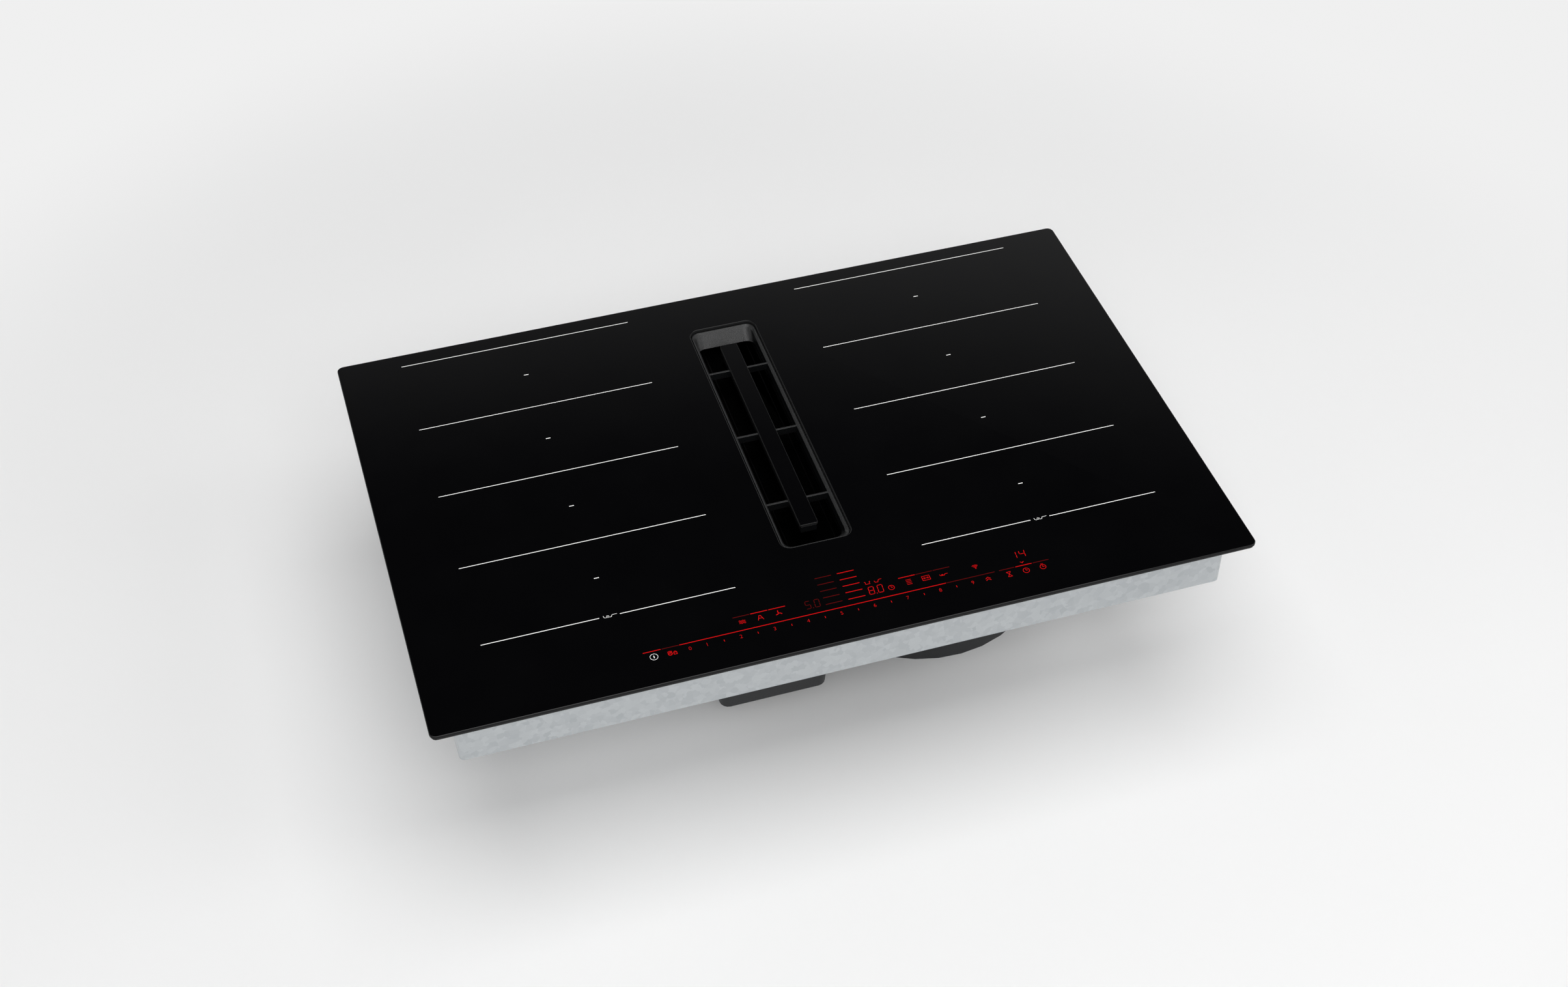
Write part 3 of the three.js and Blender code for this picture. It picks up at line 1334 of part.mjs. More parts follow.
// A drum of forward-curved blades on a dished disc that reaches over the motor.
function impeller() {
  const dishInside = motorTop + DISH_GAP;
  const dishWide = MOTOR_RADIUS + DISH_FLARE;
  const dishNarrow = MOTOR_RADIUS + DISH_GAP;
  const disc = turned(
    [
      [0, axleTop + FIT],
      [MOTOR_AXLE_RADIUS + FIT, axleTop + FIT],
      [MOTOR_AXLE_RADIUS + FIT, dishInside],
      [dishNarrow, dishInside],
      [dishWide, impellerBottom],
      [IMPELLER_RADIUS, impellerBottom],
      [IMPELLER_RADIUS, impellerBottom + IMPELLER_DISC],
      [dishWide + IMPELLER_DISC, impellerBottom + IMPELLER_DISC],
      [dishNarrow + IMPELLER_DISC, dishInside + IMPELLER_DISC],
      [HUB_RADIUS, dishInside + IMPELLER_DISC],
      [HUB_RADIUS, axleTop + HUB_TOP],
      [0, axleTop + HUB_TOP],
    ],
    BLOWER_X,
    blowerY,
    BLADES,
  );
  const inner = IMPELLER_RADIUS - BLADE_CHORD;
  const rim = circle(BLOWER_X, blowerY, IMPELLER_RADIUS, BLADES);
  const ring = slab(rim, impellerTop - IMPELLER_DISC, impellerTop, [
    circle(BLOWER_X, blowerY, inner, BLADES),
  ]);
  const outline = bladeOutline(inner + BLADE_THICK / 2, IMPELLER_RADIUS - BLADE_THICK / 2);
  const blades = Array.from({ length: BLADES }, (_, i) => {
    const blade = slab(outline, impellerBottom + IMPELLER_DISC / 2, impellerTop - IMPELLER_DISC / 2);
    return blade.rotateZ((i * 360 * DEGREE) / BLADES).translate(BLOWER_X, blowerY, 0);
  });
  return joined(disc, ring, ...blades);
}

addPiece("scroll_housing", scrollHousing(), mouldedBlack);
addPiece("outlet_flange", outletFlange(), mouldedBlack);
addPiece("inlet_bell", inletBell(), greyPlastic);
addPiece("fan_motor", fanMotor(), zincSteel);
addPiece("motor_axle", motorAxle(), stainless);
addPiece("impeller", impeller(), greyPlastic);

// ---------------------------------------------------------------- overflow tank

function overflowTank() {
  const half = { x: TANK_WIDTH / 2, y: TANK_DEPTH / 2 };
  const outline = (inset, height) => ({
    height,
    outline: roundedRect(grown(half, -inset), Math.max(TANK_CORNER - inset, SMALL_CORNER), TANK_X, tankY),
  });
  const straight = tankTop - TANK_STRAIGHT;
  const outside = loft([
    outline(TANK_TAPER, tankBottom),
    outline(0, straight),
    outline(0, tankTop),
  ]);
  const inside = loft([
    outline(TANK_TAPER + TANK_WALL, tankBottom + TANK_WALL),
    outline(TANK_WALL, straight),
    outline(TANK_WALL, tankTop + OVERCUT),
  ]);
  const lipOutline = roundedRect(grown(half, TANK_LIP), TANK_CORNER, TANK_X, tankY);
  const lip = slab(lipOutline, tankTop - TANK_LIP_THICK, tankTop);
  const grips = [-1, 1].map((end) => {
    const root = tankY + end * (half.y - TANK_WALL);
    const edge = tankY + end * (half.y + GRIP_OUT);
    return block(
      TANK_X - GRIP_WIDTH / 2,
      TANK_X + GRIP_WIDTH / 2,
      Math.min(root, edge),
      Math.max(root, edge),
      tankTop - GRIP_DROP - GRIP_HEIGHT,
      tankTop - GRIP_DROP,
    );
  });
  return cut(joined(outside, lip, ...grips), inside);
}

function tankSeal() {
  const outer = grown(tankInner, -FIT);
  const top = plenumUnder - TANK_SEAL_DROP;
  return slab(
    roundedRect(outer, Math.max(tankInnerCorner - FIT, SMALL_CORNER), TANK_X, tankY),
    top - TANK_SEAL_HEIGHT,
    top,
    [roundedRect(grown(collarHalf, FIT), collarCorner + FIT, TANK_X, tankY)],
  );
}

addPiece("overflow_tank", overflowTank(), mouldedBlack);
addPiece("tank_seal", tankSeal(), rubber);

// ---------------------------------------------------------------- worktop clamps

function clampBracket(side, y) {
  const face = trayWidth / 2 + FIT;
  const top = -CLAMP_DROP;
  const bottom = top - CLAMP_HEIGHT;
  const outline = [
    [face, bottom],
    [face + CLAMP_ARM, bottom],
    [face + CLAMP_ARM, bottom + CLAMP_SHEET],
    [face + CLAMP_SHEET, bottom + CLAMP_SHEET],
    [face + CLAMP_SHEET, top],
    [face, top],
  ].map(([x, z]) => new THREE.Vector2(side * x, z));
  const bracket = beam(outline, y - CLAMP_WIDTH / 2, y + CLAMP_WIDTH / 2);
  const x = side * (face + CLAMP_SCREW_OUT);
  return cut(bracket, rod(x, y, SCREW_RADIUS + FIT, bottom - OVERCUT, bottom + CLAMP_SHEET + OVERCUT, 12));
}

function clampScrew(side, y) {
  const x = side * (trayWidth / 2 + FIT + CLAMP_SCREW_OUT);
  const under = -CLAMP_DROP - CLAMP_HEIGHT - FIT;
  return joined(
    rod(x, y, SCREW_HEAD_RADIUS, under - SCREW_HEAD, under, 6),
    rod(x, y, SCREW_RADIUS, under - ROOT, under + CLAMP_SCREW_LENGTH, 10),
  );
}

SIDES.forEach(([name, side]) => {
  ["front", "back"].forEach((end, i) => {
    const y = (2 * i - 1) * clampY;
    addPiece(`clamp_bracket_${end}_${name}`, clampBracket(side, y), zincSteel);
    addPiece(`clamp_screw_${end}_${name}`, clampScrew(side, y), zincSteel);
  });
});

export default cooktop;
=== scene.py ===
"""Finishes, markings and lights of a built-in induction cooktop with a downdraft vent."""

import math

import bmesh
import bpy
from mathutils import Matrix, Vector


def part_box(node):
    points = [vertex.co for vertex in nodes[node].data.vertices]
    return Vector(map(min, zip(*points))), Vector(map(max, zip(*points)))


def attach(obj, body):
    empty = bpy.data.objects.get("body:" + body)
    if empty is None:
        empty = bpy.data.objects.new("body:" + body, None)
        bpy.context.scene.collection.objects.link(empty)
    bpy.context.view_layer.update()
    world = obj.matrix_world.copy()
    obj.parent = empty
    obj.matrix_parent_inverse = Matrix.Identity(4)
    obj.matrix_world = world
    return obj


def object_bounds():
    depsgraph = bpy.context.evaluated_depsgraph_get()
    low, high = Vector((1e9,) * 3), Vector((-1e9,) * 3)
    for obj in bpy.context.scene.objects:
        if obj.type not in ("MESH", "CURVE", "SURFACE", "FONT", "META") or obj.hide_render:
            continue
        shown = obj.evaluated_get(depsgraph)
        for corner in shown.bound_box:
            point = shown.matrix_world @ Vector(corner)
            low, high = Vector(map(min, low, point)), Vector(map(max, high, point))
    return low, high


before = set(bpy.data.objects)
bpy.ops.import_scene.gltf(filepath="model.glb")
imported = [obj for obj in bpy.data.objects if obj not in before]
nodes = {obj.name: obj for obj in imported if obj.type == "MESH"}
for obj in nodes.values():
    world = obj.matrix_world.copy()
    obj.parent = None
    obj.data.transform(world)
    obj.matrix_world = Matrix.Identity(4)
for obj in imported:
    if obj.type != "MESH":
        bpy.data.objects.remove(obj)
cad_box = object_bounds()

MM = 0.001

# ---------------------------------------------------------------- camera, floor and lights

# Lengths and places are in metres here, where nothing else is said.
CAMERA_PLACE = (-0.4618, -1.4952, 1.4809)
CAMERA_AIM = (0.21346, 0.68177, -0.69973)
LENS = 50.0  # millimetres
SENSOR = 36.0  # millimetres

WHITE = "#FFFFFF"
FLOOR_SIZE = 12.0
FLOOR_DROP = 0.2  # millimetres under the lowest point of the cooktop
FLOOR_LIT = 0.75  # how far from the middle the floor begins to fade into the backdrop
FLOOR_FADED = 1.3
PAPER = 0.87  # the even pale grey of the studio's paper
PAPER_TOP = 0.46  # sine of the angle of elevation at which the studio begins to darken
DARK_FROM = 0.7  # sine of the angle from which it is dark
DARK = 0.02

# Where each lamp hangs, its width and depth, and its power in watts.
LAMPS = {
    "overhead": ((0.0, -0.2, 2.6), 2.6, 2.2, 48),
    "front": ((-0.5, -2.8, 2.8), 2.6, 1.4, 50),
    "side": ((2.6, -1.2, 2.2), 1.4, 1.4, 16),
}


def make_camera():
    data = bpy.data.cameras.new("camera")
    data.lens = LENS
    data.sensor_width = SENSOR
    data.clip_start = 0.01
    camera = bpy.data.objects.new("camera", data)
    camera.location = CAMERA_PLACE
    camera.rotation_mode = "QUATERNION"
    camera.rotation_quaternion = Vector(CAMERA_AIM).to_track_quat("-Z", "Y")
    bpy.context.scene.collection.objects.link(camera)
    bpy.context.scene.camera = camera


def make_lamp(name, place, width, depth, power):
    """A softbox that faces the middle of the cooktop."""
    data = bpy.data.lights.new(name, "AREA")
    data.shape = "RECTANGLE"
    data.size = width
    data.size_y = depth
    data.energy = power
    lamp = bpy.data.objects.new(name, data)
    lamp.location = place
    lamp.rotation_mode = "QUATERNION"
    lamp.rotation_quaternion = (Vector((0, 0, 0)) - Vector(place)).to_track_quat("-Z", "Y")
    bpy.context.scene.collection.objects.link(lamp)


# ---------------------------------------------------------------- helpers for materials


def colour(code):
    """An sRGB hex code as the linear colour that a socket holds."""
    parts = [int(code[i : i + 2], 16) / 255 for i in (1, 3, 5)]
    linear = [c / 12.92 if c <= 0.04045 else ((c + 0.055) / 1.055) ** 2.4 for c in parts]
    return (*linear, 1.0)


def fill(tree, node, inputs):
    """Gives inputs their values; an output given as a value is linked."""
    for socket, value in inputs.items():
        if isinstance(value, bpy.types.NodeSocket):
            tree.links.new(value, node.inputs[socket])
        else:
            node.inputs[socket].default_value = value


def add(tree, kind, inputs=None, **settings):
    """Adds a node with its settings and inputs."""
    node = tree.nodes.new(kind)
    for name, value in settings.items():
        setattr(node, name, value)
    fill(tree, node, inputs or {})
    return node


def start_material(name):
    material = bpy.data.materials.new(name)
    material.use_nodes = True
    tree = material.node_tree
    place = add(tree, "ShaderNodeTexCoord").outputs["Object"]
    return material, tree, tree.nodes["Principled BSDF"], place


def per_mm(size):
    """The scale of a pattern whose features are this many millimetres wide."""
    return 1 / (size * MM)


def noise(tree, place, size, detail=2.0):
    """Noise with features of this many millimetres."""
    inputs = {"Vector": place, "Scale": per_mm(size), "Detail": detail}
    return add(tree, "ShaderNodeTexNoise", inputs).outputs


def blend(tree, share, first, second):
    """The first colour where the share is 0, and the second where it is 1."""
    inputs = {0: share, 6: first, 7: second}
    return add(tree, "ShaderNodeMix", inputs, data_type="RGBA").outputs[2]


def spread(tree, share, low, high):
    """Low where the share is 0, and high where it is 1."""
    return add(tree, "ShaderNodeMapRange", {0: share, 3: low, 4: high}).outputs[0]


def bump(tree, strength, depth, height):
    """The normal of a relief that is this many millimetres deep."""
    inputs = {"Strength": strength, "Distance": depth * MM, "Height": height}
    return add(tree, "ShaderNodeBump", inputs).outputs[0]


# ---------------------------------------------------------------- materials


def glass_ceramic():
    """Black lithium-aluminosilicate glass ceramic, rolled and polished: nearly black through its
    whole depth, with a mirror gloss that wiping leaves very slightly uneven. Its edges are ground,
    so they are dull."""
    material, tree, shader, place = start_material("glass ceramic, black, polished")
    wipe = noise(tree, place, 60, 3.0)[0]
    grit = noise(tree, place, 0.4)[0]
    facing = add(tree, "ShaderNodeTexCoord").outputs["Normal"]
    rise = add(tree, "ShaderNodeSeparateXYZ", {0: facing}).outputs["Z"]
    ground = add(tree, "ShaderNodeMapRange", {0: rise, 1: 0.95, 2: 0.7}).outputs[0]
    gloss = spread(tree, wipe, 0.035, 0.07)
    dull = spread(tree, grit, 0.84, 0.94)
    rough = add(tree, "ShaderNodeMix", {0: ground, 2: gloss, 3: dull}).outputs[0]
    black = blend(tree, wipe, colour("#020203"), colour("#050506"))
    tone = blend(tree, ground, black, colour("#030304"))
    fill(tree, shader, {"Base Color": tone, "Roughness": rough})
    fill(tree, shader, {"IOR": 1.53, "Specular IOR Level": 0.4})
    return material


def ceramic_print():
    """Ceramic colour fired onto the glass: opaque near-white, satin, with a fine screen grain."""
    material, tree, shader, place = start_material("fired ceramic colour, near-white")
    tone = blend(tree, noise(tree, place, 0.8)[0], colour("#EFEFED"), colour("#FCFCFA"))
    fill(tree, shader, {"Base Color": tone, "Roughness": 0.45})
    return material


def lamp_light(name, edge, middle):
    """A red light-emitting diode behind a mask under the glass: its light guide is a little
    brighter over each diode."""
    material, tree, shader, place = start_material(name)
    tone = blend(tree, noise(tree, place, 4.0)[0], colour(edge), colour(middle))
    fill(tree, shader, {"Emission Color": tone, "Emission Strength": 1.0})
    fill(tree, shader, {"Base Color": colour("#050303"), "Roughness": 0.1})
    return material


def moulding(name, dark, light, grain, rough, relief, upright=None):
    """An injection moulding from a spark-eroded mould: an even fine grain that spreads the
    highlight, a little shinier where the grain is shallow. Grain and relief are in
    millimetres. Where upright is given, it is the roughness of the upright faces, which are
    polished in the mould so that the piece comes out."""
    material, tree, shader, place = start_material(name)
    cloud = noise(tree, place, 35, 4.0)[0]
    depth = noise(tree, place, grain)[0]
    tone = blend(tree, cloud, colour(dark), colour(light))
    gloss = spread(tree, depth, rough - 0.09, rough + 0.09)
    if upright is not None:
        facing = add(tree, "ShaderNodeNewGeometry").outputs["True Normal"]
        rise = add(tree, "ShaderNodeSeparateXYZ", {0: facing}).outputs["Z"]
        slope = add(tree, "ShaderNodeMath", {0: rise}, operation="ABSOLUTE").outputs[0]
        grained = add(tree, "ShaderNodeMapRange", {0: slope, 1: 0.1, 2: 0.4}).outputs[0]
        gloss = add(tree, "ShaderNodeMix", {0: grained, 2: upright, 3: gloss}).outputs[0]
        depth = add(tree, "ShaderNodeMath", {0: depth, 1: grained}, operation="MULTIPLY").outputs[0]
    normal = bump(tree, 1.0, relief, depth)
    fill(tree, shader, {"Base Color": tone, "Roughness": gloss, "Normal": normal, "IOR": 1.5})
    return material


def galvanised_steel():
    """Hot-dip galvanised sheet: small zinc crystals, each with its own faint grey and its
    own sheen."""
    material, tree, shader, place = start_material("galvanised steel sheet, spangled")
    inputs = {0: 0.006, 4: place, 5: noise(tree, place, 5)[1]}
    crooked = add(tree, "ShaderNodeMix", inputs, data_type="VECTOR").outputs[1]
    crystal = add(tree, "ShaderNodeTexVoronoi", {"Vector": crooked, "Scale": per_mm(6)})
    shade = add(tree, "ShaderNodeSeparateColor", {0: crystal.outputs["Color"]}).outputs
    tone = blend(tree, shade[0], colour("#B2B6B9"), colour("#BEC2C4"))
    sheen = spread(tree, shade[1], 0.38, 0.48)
    fill(tree, shader, {"Base Color": tone, "Roughness": sheen, "Metallic": 0.85})
    return material


def rolled_metal(name, dark, light, rough, stretch=(1.0, 1.0, 1.0)):
    """Cold-rolled or ground sheet: hairlines along one direction in an even metal grey."""
    material, tree, shader, place = start_material(name)
    drawn = add(tree, "ShaderNodeMapping", {"Vector": place, "Scale": stretch}).outputs[0]
    lines = noise(tree, drawn, 1.2, 3.0)[0]
    tone = blend(tree, lines, colour(dark), colour(light))
    polish = spread(tree, lines, rough - 0.07, rough + 0.09)
    normal = bump(tree, 0.15, 0.05, lines)
    fill(tree, shader, {"Base Color": tone, "Roughness": polish, "Normal": normal, "Metallic": 1.0})
    return material


def wire_cloth():
    """Knitted and pressed stainless wire behind the filter's face, deep in the vent. Its near-black
    colour is painted shade, and only points of it catch the light."""
    material, tree, shader, place = start_material("stainless wire cloth, pressed, painted shade black")
    inputs = {"Vector": place, "Scale": per_mm(2.4)}
    tangle = add(tree, "ShaderNodeTexVoronoi", inputs).outputs["Distance"]
    # Painted shade: the stainless wire is coloured near-black, as if it lay in the shade deep in
    # the vent.
    tone = blend(tree, tangle, colour("#0B0C0C"), colour("#020202"))
    normal = bump(tree, 0.9, 0.6, tangle)
    fill(tree, shader, {"Base Color": tone, "Roughness": 0.5, "Normal": normal, "Metallic": 1.0})
    return material


def elastomer():
    """Silicone and closed-cell foam: dull black with a soft, slightly dusty bloom."""
    material, tree, shader, place = start_material("silicone rubber, black")
    bloom = noise(tree, place, 6, 5.0)[0]
    tone = blend(tree, bloom, colour("#121212"), colour("#232323"))
    normal = bump(tree, 0.2, 0.2, bloom)
    fill(tree, shader, {"Base Color": tone, "Roughness": 0.72, "Normal": normal})
    return material


def litz_winding():
    """Litz wire wound flat: strands of enamelled copper a millimetre apart, glossy amber red."""
    material, tree, shader, place = start_material("enamelled copper litz wire")
    inputs = {"Vector": place, "Scale": per_mm(8), "Distortion": 1.5}
    strands = add(tree, "ShaderNodeTexWave", inputs).outputs[1]
    tone = blend(tree, strands, colour("#5A2A14"), colour("#B4653A"))
    normal = bump(tree, 0.6, 0.5, strands)
    fill(tree, shader, {"Base Color": tone, "Roughness": 0.35, "Normal": normal, "Metallic": 0.7})
    return material


def mica_sheet():
    """Pressed mica paper: pale silvery brown with flakes that glint."""
    material, tree, shader, place = start_material("mica paper, pressed")
    flakes = add(tree, "ShaderNodeTexVoronoi", {"Vector": place, "Scale": per_mm(2.5)})
    shade = add(tree, "ShaderNodeSeparateColor", {0: flakes.outputs["Color"]}).outputs
    tone = blend(tree, shade[0], colour("#A8987C"), colour("#CFC3AA"))
    fill(tree, shader, {"Base Color": tone, "Roughness": spread(tree, shade[1], 0.25, 0.6)})
    return material


def circuit_board():
    """Glass-epoxy laminate under green solder resist: the copper tracks show as lighter green."""
    material, tree, shader, place = start_material("glass-epoxy laminate, green resist")
    inputs = {
        "Vector": place,
        "Scale": per_mm(12),
        "Color1": colour("#0E4A2A"),
        "Color2": colour("#125434"),
        "Mortar": colour("#2B7A4C"),
        "Mortar Size": 0.04,
    }
    tracks = add(tree, "ShaderNodeTexBrick", inputs).outputs["Color"]
    fill(tree, shader, {"Base Color": tracks, "Roughness": 0.3})
    return material


def worktop_laminate():
    """The plain pale floor. Away from the object it fades, for the camera and in reflections,
    into the same even grey as the backdrop."""
    material, tree, shader, place = start_material("matt white laminate")
    cloud = add(tree, "ShaderNodeTexNoise", {"Vector": place, "Scale": 3.0}).outputs[0]
    tone = blend(tree, cloud, colour("#EEEEEE"), colour("#F1F1F1"))
    fill(tree, shader, {"Base Color": tone, "Roughness": 0.9, "Specular IOR Level": 0.1})
    level = add(tree, "ShaderNodeVectorMath", {0: place, 1: (1, 1, 0)}, operation="MULTIPLY")
    away = add(tree, "ShaderNodeVectorMath", {0: level.outputs[0]}, operation="LENGTH")
    inputs = {0: away.outputs["Value"], 1: FLOOR_LIT, 2: FLOOR_FADED}
    fade = add(tree, "ShaderNodeMapRange", inputs, interpolation_type="SMOOTHSTEP").outputs[0]
    rays = add(tree, "ShaderNodeLightPath").outputs
    inputs = {0: rays["Is Camera Ray"], 1: rays["Is Glossy Ray"]}
    looked_at = add(tree, "ShaderNodeMath", inputs, operation="MAXIMUM").outputs[0]
    share = add(tree, "ShaderNodeMath", {0: fade, 1: looked_at}, operation="MULTIPLY").outputs[0]
    paper = add(tree, "ShaderNodeEmission", {"Color": colour(WHITE), "Strength": PAPER})
    inputs = {0: share, 1: shader.outputs[0], 2: paper.outputs[0]}
    surface = add(tree, "ShaderNodeMixShader", inputs).outputs[0]
    fill(tree, tree.nodes["Material Output"], {"Surface": surface})
    return material


GLASS = glass_ceramic()
PRINT = ceramic_print()
LIGHT_BRIGHT = lamp_light("red diode light, bright", "#C80A0C", "#F41418")
LIGHT_DIM = lamp_light("red diode light, dimmed", "#4A0506", "#6E090B")
GRILLE = moulding(
    "glass-filled polyamide, black, spark-eroded", "#0A0A0B", "#141516", 0.75, 0.34, 0.24, 0.1
)
BLACK_MOULDING = moulding("polypropylene, black, fine grain", "#1C1D1E", "#27282A", 1.2, 0.48, 0.06)
GREY_MOULDING = moulding("polyamide, grey, fine grain", "#63676A", "#72767A", 1.2, 0.45, 0.05)
GALVANISED = galvanised_steel()
# Painted shade: a near-black copy of the black moulding for the air shaft and the condensate tray
# deep in the vent.
SHADED_DEEP_MOULDING = moulding(
    "glass-filled polyamide, black, smooth", "#050505", "#09090A", 1.2, 0.5, 0.03
)
# Painted shade: the stainless steel of the cassette is coloured nearly black, as if it lay in the
# shade deep in the vent.
DARK_STEEL = rolled_metal(
    "stainless steel, darkened as painted shade", "#060607", "#0E0F10", 0.3, (0.3, 1.0, 1.0)
)
# Painted shade: the stainless face of the filter is coloured nearly black too, a little lighter, so
# that only glints show.
FACE_STEEL = rolled_metal("stainless steel, darkened as painted shade, lighter", "#0C0C0D", "#17181A", 0.3)
STAINLESS = rolled_metal("stainless steel, ground", "#9FA1A2", "#BDBFC0", 0.3, (1.0, 0.04, 1.0))
ALUMINIUM = rolled_metal("aluminium, mill finish", "#B9BBBD", "#CFD1D2", 0.36, (0.05, 1.0, 1.0))
SCREW_STEEL = rolled_metal("zinc-plated steel", "#B3B4B0", "#CDCFCC", 0.3)
WIRE = wire_cloth()
RUBBER = elastomer()
COPPER = litz_winding()
MICA = mica_sheet()
BOARD = circuit_board()
LAMINATE = worktop_laminate()

# Which finish each CAD node has, by the start of its name.
FINISHES = {
    "glass_panel": GLASS,
    "grille_glass_strip": GLASS,
    "vent_grille": GRILLE,
    "cassette_frame": DARK_STEEL,
    "filter_mat": WIRE,
    "condensate_tray": SHADED_DEEP_MOULDING,
    "air_shaft": SHADED_DEEP_MOULDING,
    "worktop_seal": RUBBER,
    "shaft_seal": RUBBER,
    "tank_seal": RUBBER,
    "mains_gland": RUBBER,
    "base_tray": GALVANISED,
    "fan_motor": GALVANISED,
    "clamp_bracket": GALVANISED,
    "clamp_screw": SCREW_STEEL,
    "housing_screw": SCREW_STEEL,
    "motor_axle": STAINLESS,
    "coil_plate": ALUMINIUM,
    "heat_sink": ALUMINIUM,
    "coil_former": GREY_MOULDING,
    "coil_left": COPPER,
    "coil_right": COPPER,
    "mica_sheet": MICA,
    "power_board": BOARD,
    "touch_board": BOARD,
    "touch_carrier": GREY_MOULDING,
    "mains_terminal_box": GREY_MOULDING,
    "cooling_fan": BLACK_MOULDING,
    "plenum": BLACK_MOULDING,
    "scroll_housing": BLACK_MOULDING,
    "outlet_flange": BLACK_MOULDING,
    "overflow_tank": BLACK_MOULDING,
    "inlet_bell": GREY_MOULDING,
    "impeller": GREY_MOULDING,
}

# The radius, in millimetres, to which the corners of a node are broken.
BROKEN_CORNERS = {
    "vent_grille": 0.25,
    "base_tray": 0.25,
    "clamp_bracket": 0.5,
    "clamp_screw": 0.4,
    "housing_screw": 0.4,
    "plenum_cover": 0.5,
    "plenum_housing": 0.6,
    "scroll_housing": 0.7,
    "outlet_flange": 0.5,
    "overflow_tank": 0.6,
    "condensate_tray": 0.4,
    "cassette_frame": 0.3,
    "inlet_bell": 0.5,
    "mains_gland": 0.5,
}

# In degrees.
SHALLOW = 32  # a curve's facets meet at less than this
GLASS_SHALLOW = 50  # takes in the arris of the glass, which is ground round
SHARP = 40  # corners that are broken
FLAT = 0.1  # parts of one flat face

WELDED = 0.01  # millimetres between corners that become one


def smooth_curves(name, limit):
    """A node tree that shades a mesh smooth over the facets of its curves and sharp at its
    corners."""
    tree = bpy.data.node_groups.new(name, "GeometryNodeTree")
    tree.interface.new_socket("Mesh", in_out="INPUT", socket_type="NodeSocketGeometry")
    tree.interface.new_socket("Mesh", in_out="OUTPUT", socket_type="NodeSocketGeometry")
    source = add(tree, "NodeGroupInput").outputs[0]
    angle = add(tree, "GeometryNodeInputMeshEdgeAngle").outputs[0]
    inputs = {0: angle, 1: math.radians(limit)}
    corner = add(tree, "FunctionNodeCompare", inputs, operation="GREATER_THAN").outputs[0]
    inputs = {"Mesh": source, "Remove Custom": True, "Edge Sharpness": corner}
    shaded = add(tree, "GeometryNodeSetMeshNormal", inputs).outputs[0]
    add(tree, "NodeGroupOutput", {0: shaded})
    return tree


def merge_and_smooth(item, tree):
    """Makes one mesh of a node's facets, with whole flat faces and smooth curves."""
    weld = item.modifiers.new("weld", "WELD")
    weld.merge_threshold = WELDED * MM
    flat = item.modifiers.new("whole flat faces", "DECIMATE")
    flat.decimate_type = "DISSOLVE"
    flat.angle_limit = math.radians(FLAT)
    item.modifiers.new("smooth curves", "NODES").node_group = tree


def break_corners(item, radius):
    """Rounds the sharp corners of a node, so that they catch the light as real ones do."""
    bevel = item.modifiers.new("broken corners", "BEVEL")
    bevel.width = radius * MM
    bevel.segments = 2
    bevel.limit_method = "ANGLE"
    bevel.angle_limit = math.radians(SHARP)
    bevel.use_clamp_overlap = False


def finish_nodes():
    facets = smooth_curves("smooth over facets", SHALLOW)
    arris = smooth_curves("smooth over facets and the arris", GLASS_SHALLOW)
    for name, item in nodes.items():
        merge_and_smooth(item, arris if "glass" in name else facets)
        start = next(key for key in FINISHES if name.startswith(key))
        for holder in item.material_slots:
            holder.material = FINISHES[start]
        for key, radius in BROKEN_CORNERS.items():
            if name.startswith(key):
                break_corners(item, radius)
        item.modifiers.new("flat faces stay flat", "WEIGHTED_NORMAL").keep_sharp = True


# ---------------------------------------------------------------- markings on the glass

# Lengths and places are in millimetres, from the middle of the glass.
glass_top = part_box("glass_panel")[1].z / MM
PRINT_THICK = 0.03
CORNER_LAP = 0.5  # how far the strokes of a bent line overlap, as a share of their width

# Widths of strokes.
PRINT_LINE = 0.75
DASH_LINE = 0.9
LIGHT_LINE = 0.7
ICON_LINE = 0.42
MARK_LINE = 0.5
THICK_LINE = 0.7
SEGMENT_LINE = 0.55
POINT_LINE = 0.8

# The printed zones, left and right of the vent.
ZONE_X = 212.0
ZONE_Y = 37.2
ZONE_WIDTH = 240.0
ZONE_PITCH = 100.0
ZONE_LINES = 5
ZONE_GAP = 19.5  # in the front line, for a pan
DASH = 4.7

# The slider with its digits.
ROW_Y = -216.1
DIGIT_Y = -223.1
DIGIT_HEIGHT = 4.4
DIGIT_PITCH = 32.1
DIGIT_ONE_X = -136.2
DIGIT_SHARE = 0.73  # height of a digit as a share of the font's size
DIGIT_THINNED = 0.12  # taken off each side of the font's strokes
TICK = 2.2

# The fields behind the slider.
VENT_ROW_Y = -199.0
FAN_X, FAN_Y = -63.2, -205.6
LADDER_Y = -174.5
LADDER_PITCH = 8.5
LADDER_STEPS = 5
LEVEL_Y = -208.9
LEVEL_HEIGHT = 9.2
FUNCTION_ROW_Y = -197.3
SIGNAL_X, SIGNAL_Y = 129.7, -206.6
TIMER_Y = -205.9
TIMER_HEIGHT = 8.4
POWER_X = -186.0

DIGIT_LEAN = 0.08  # of a digit of seven bars, as a share of its height
NICK = 0.42  # gap between the ends of two of its bars


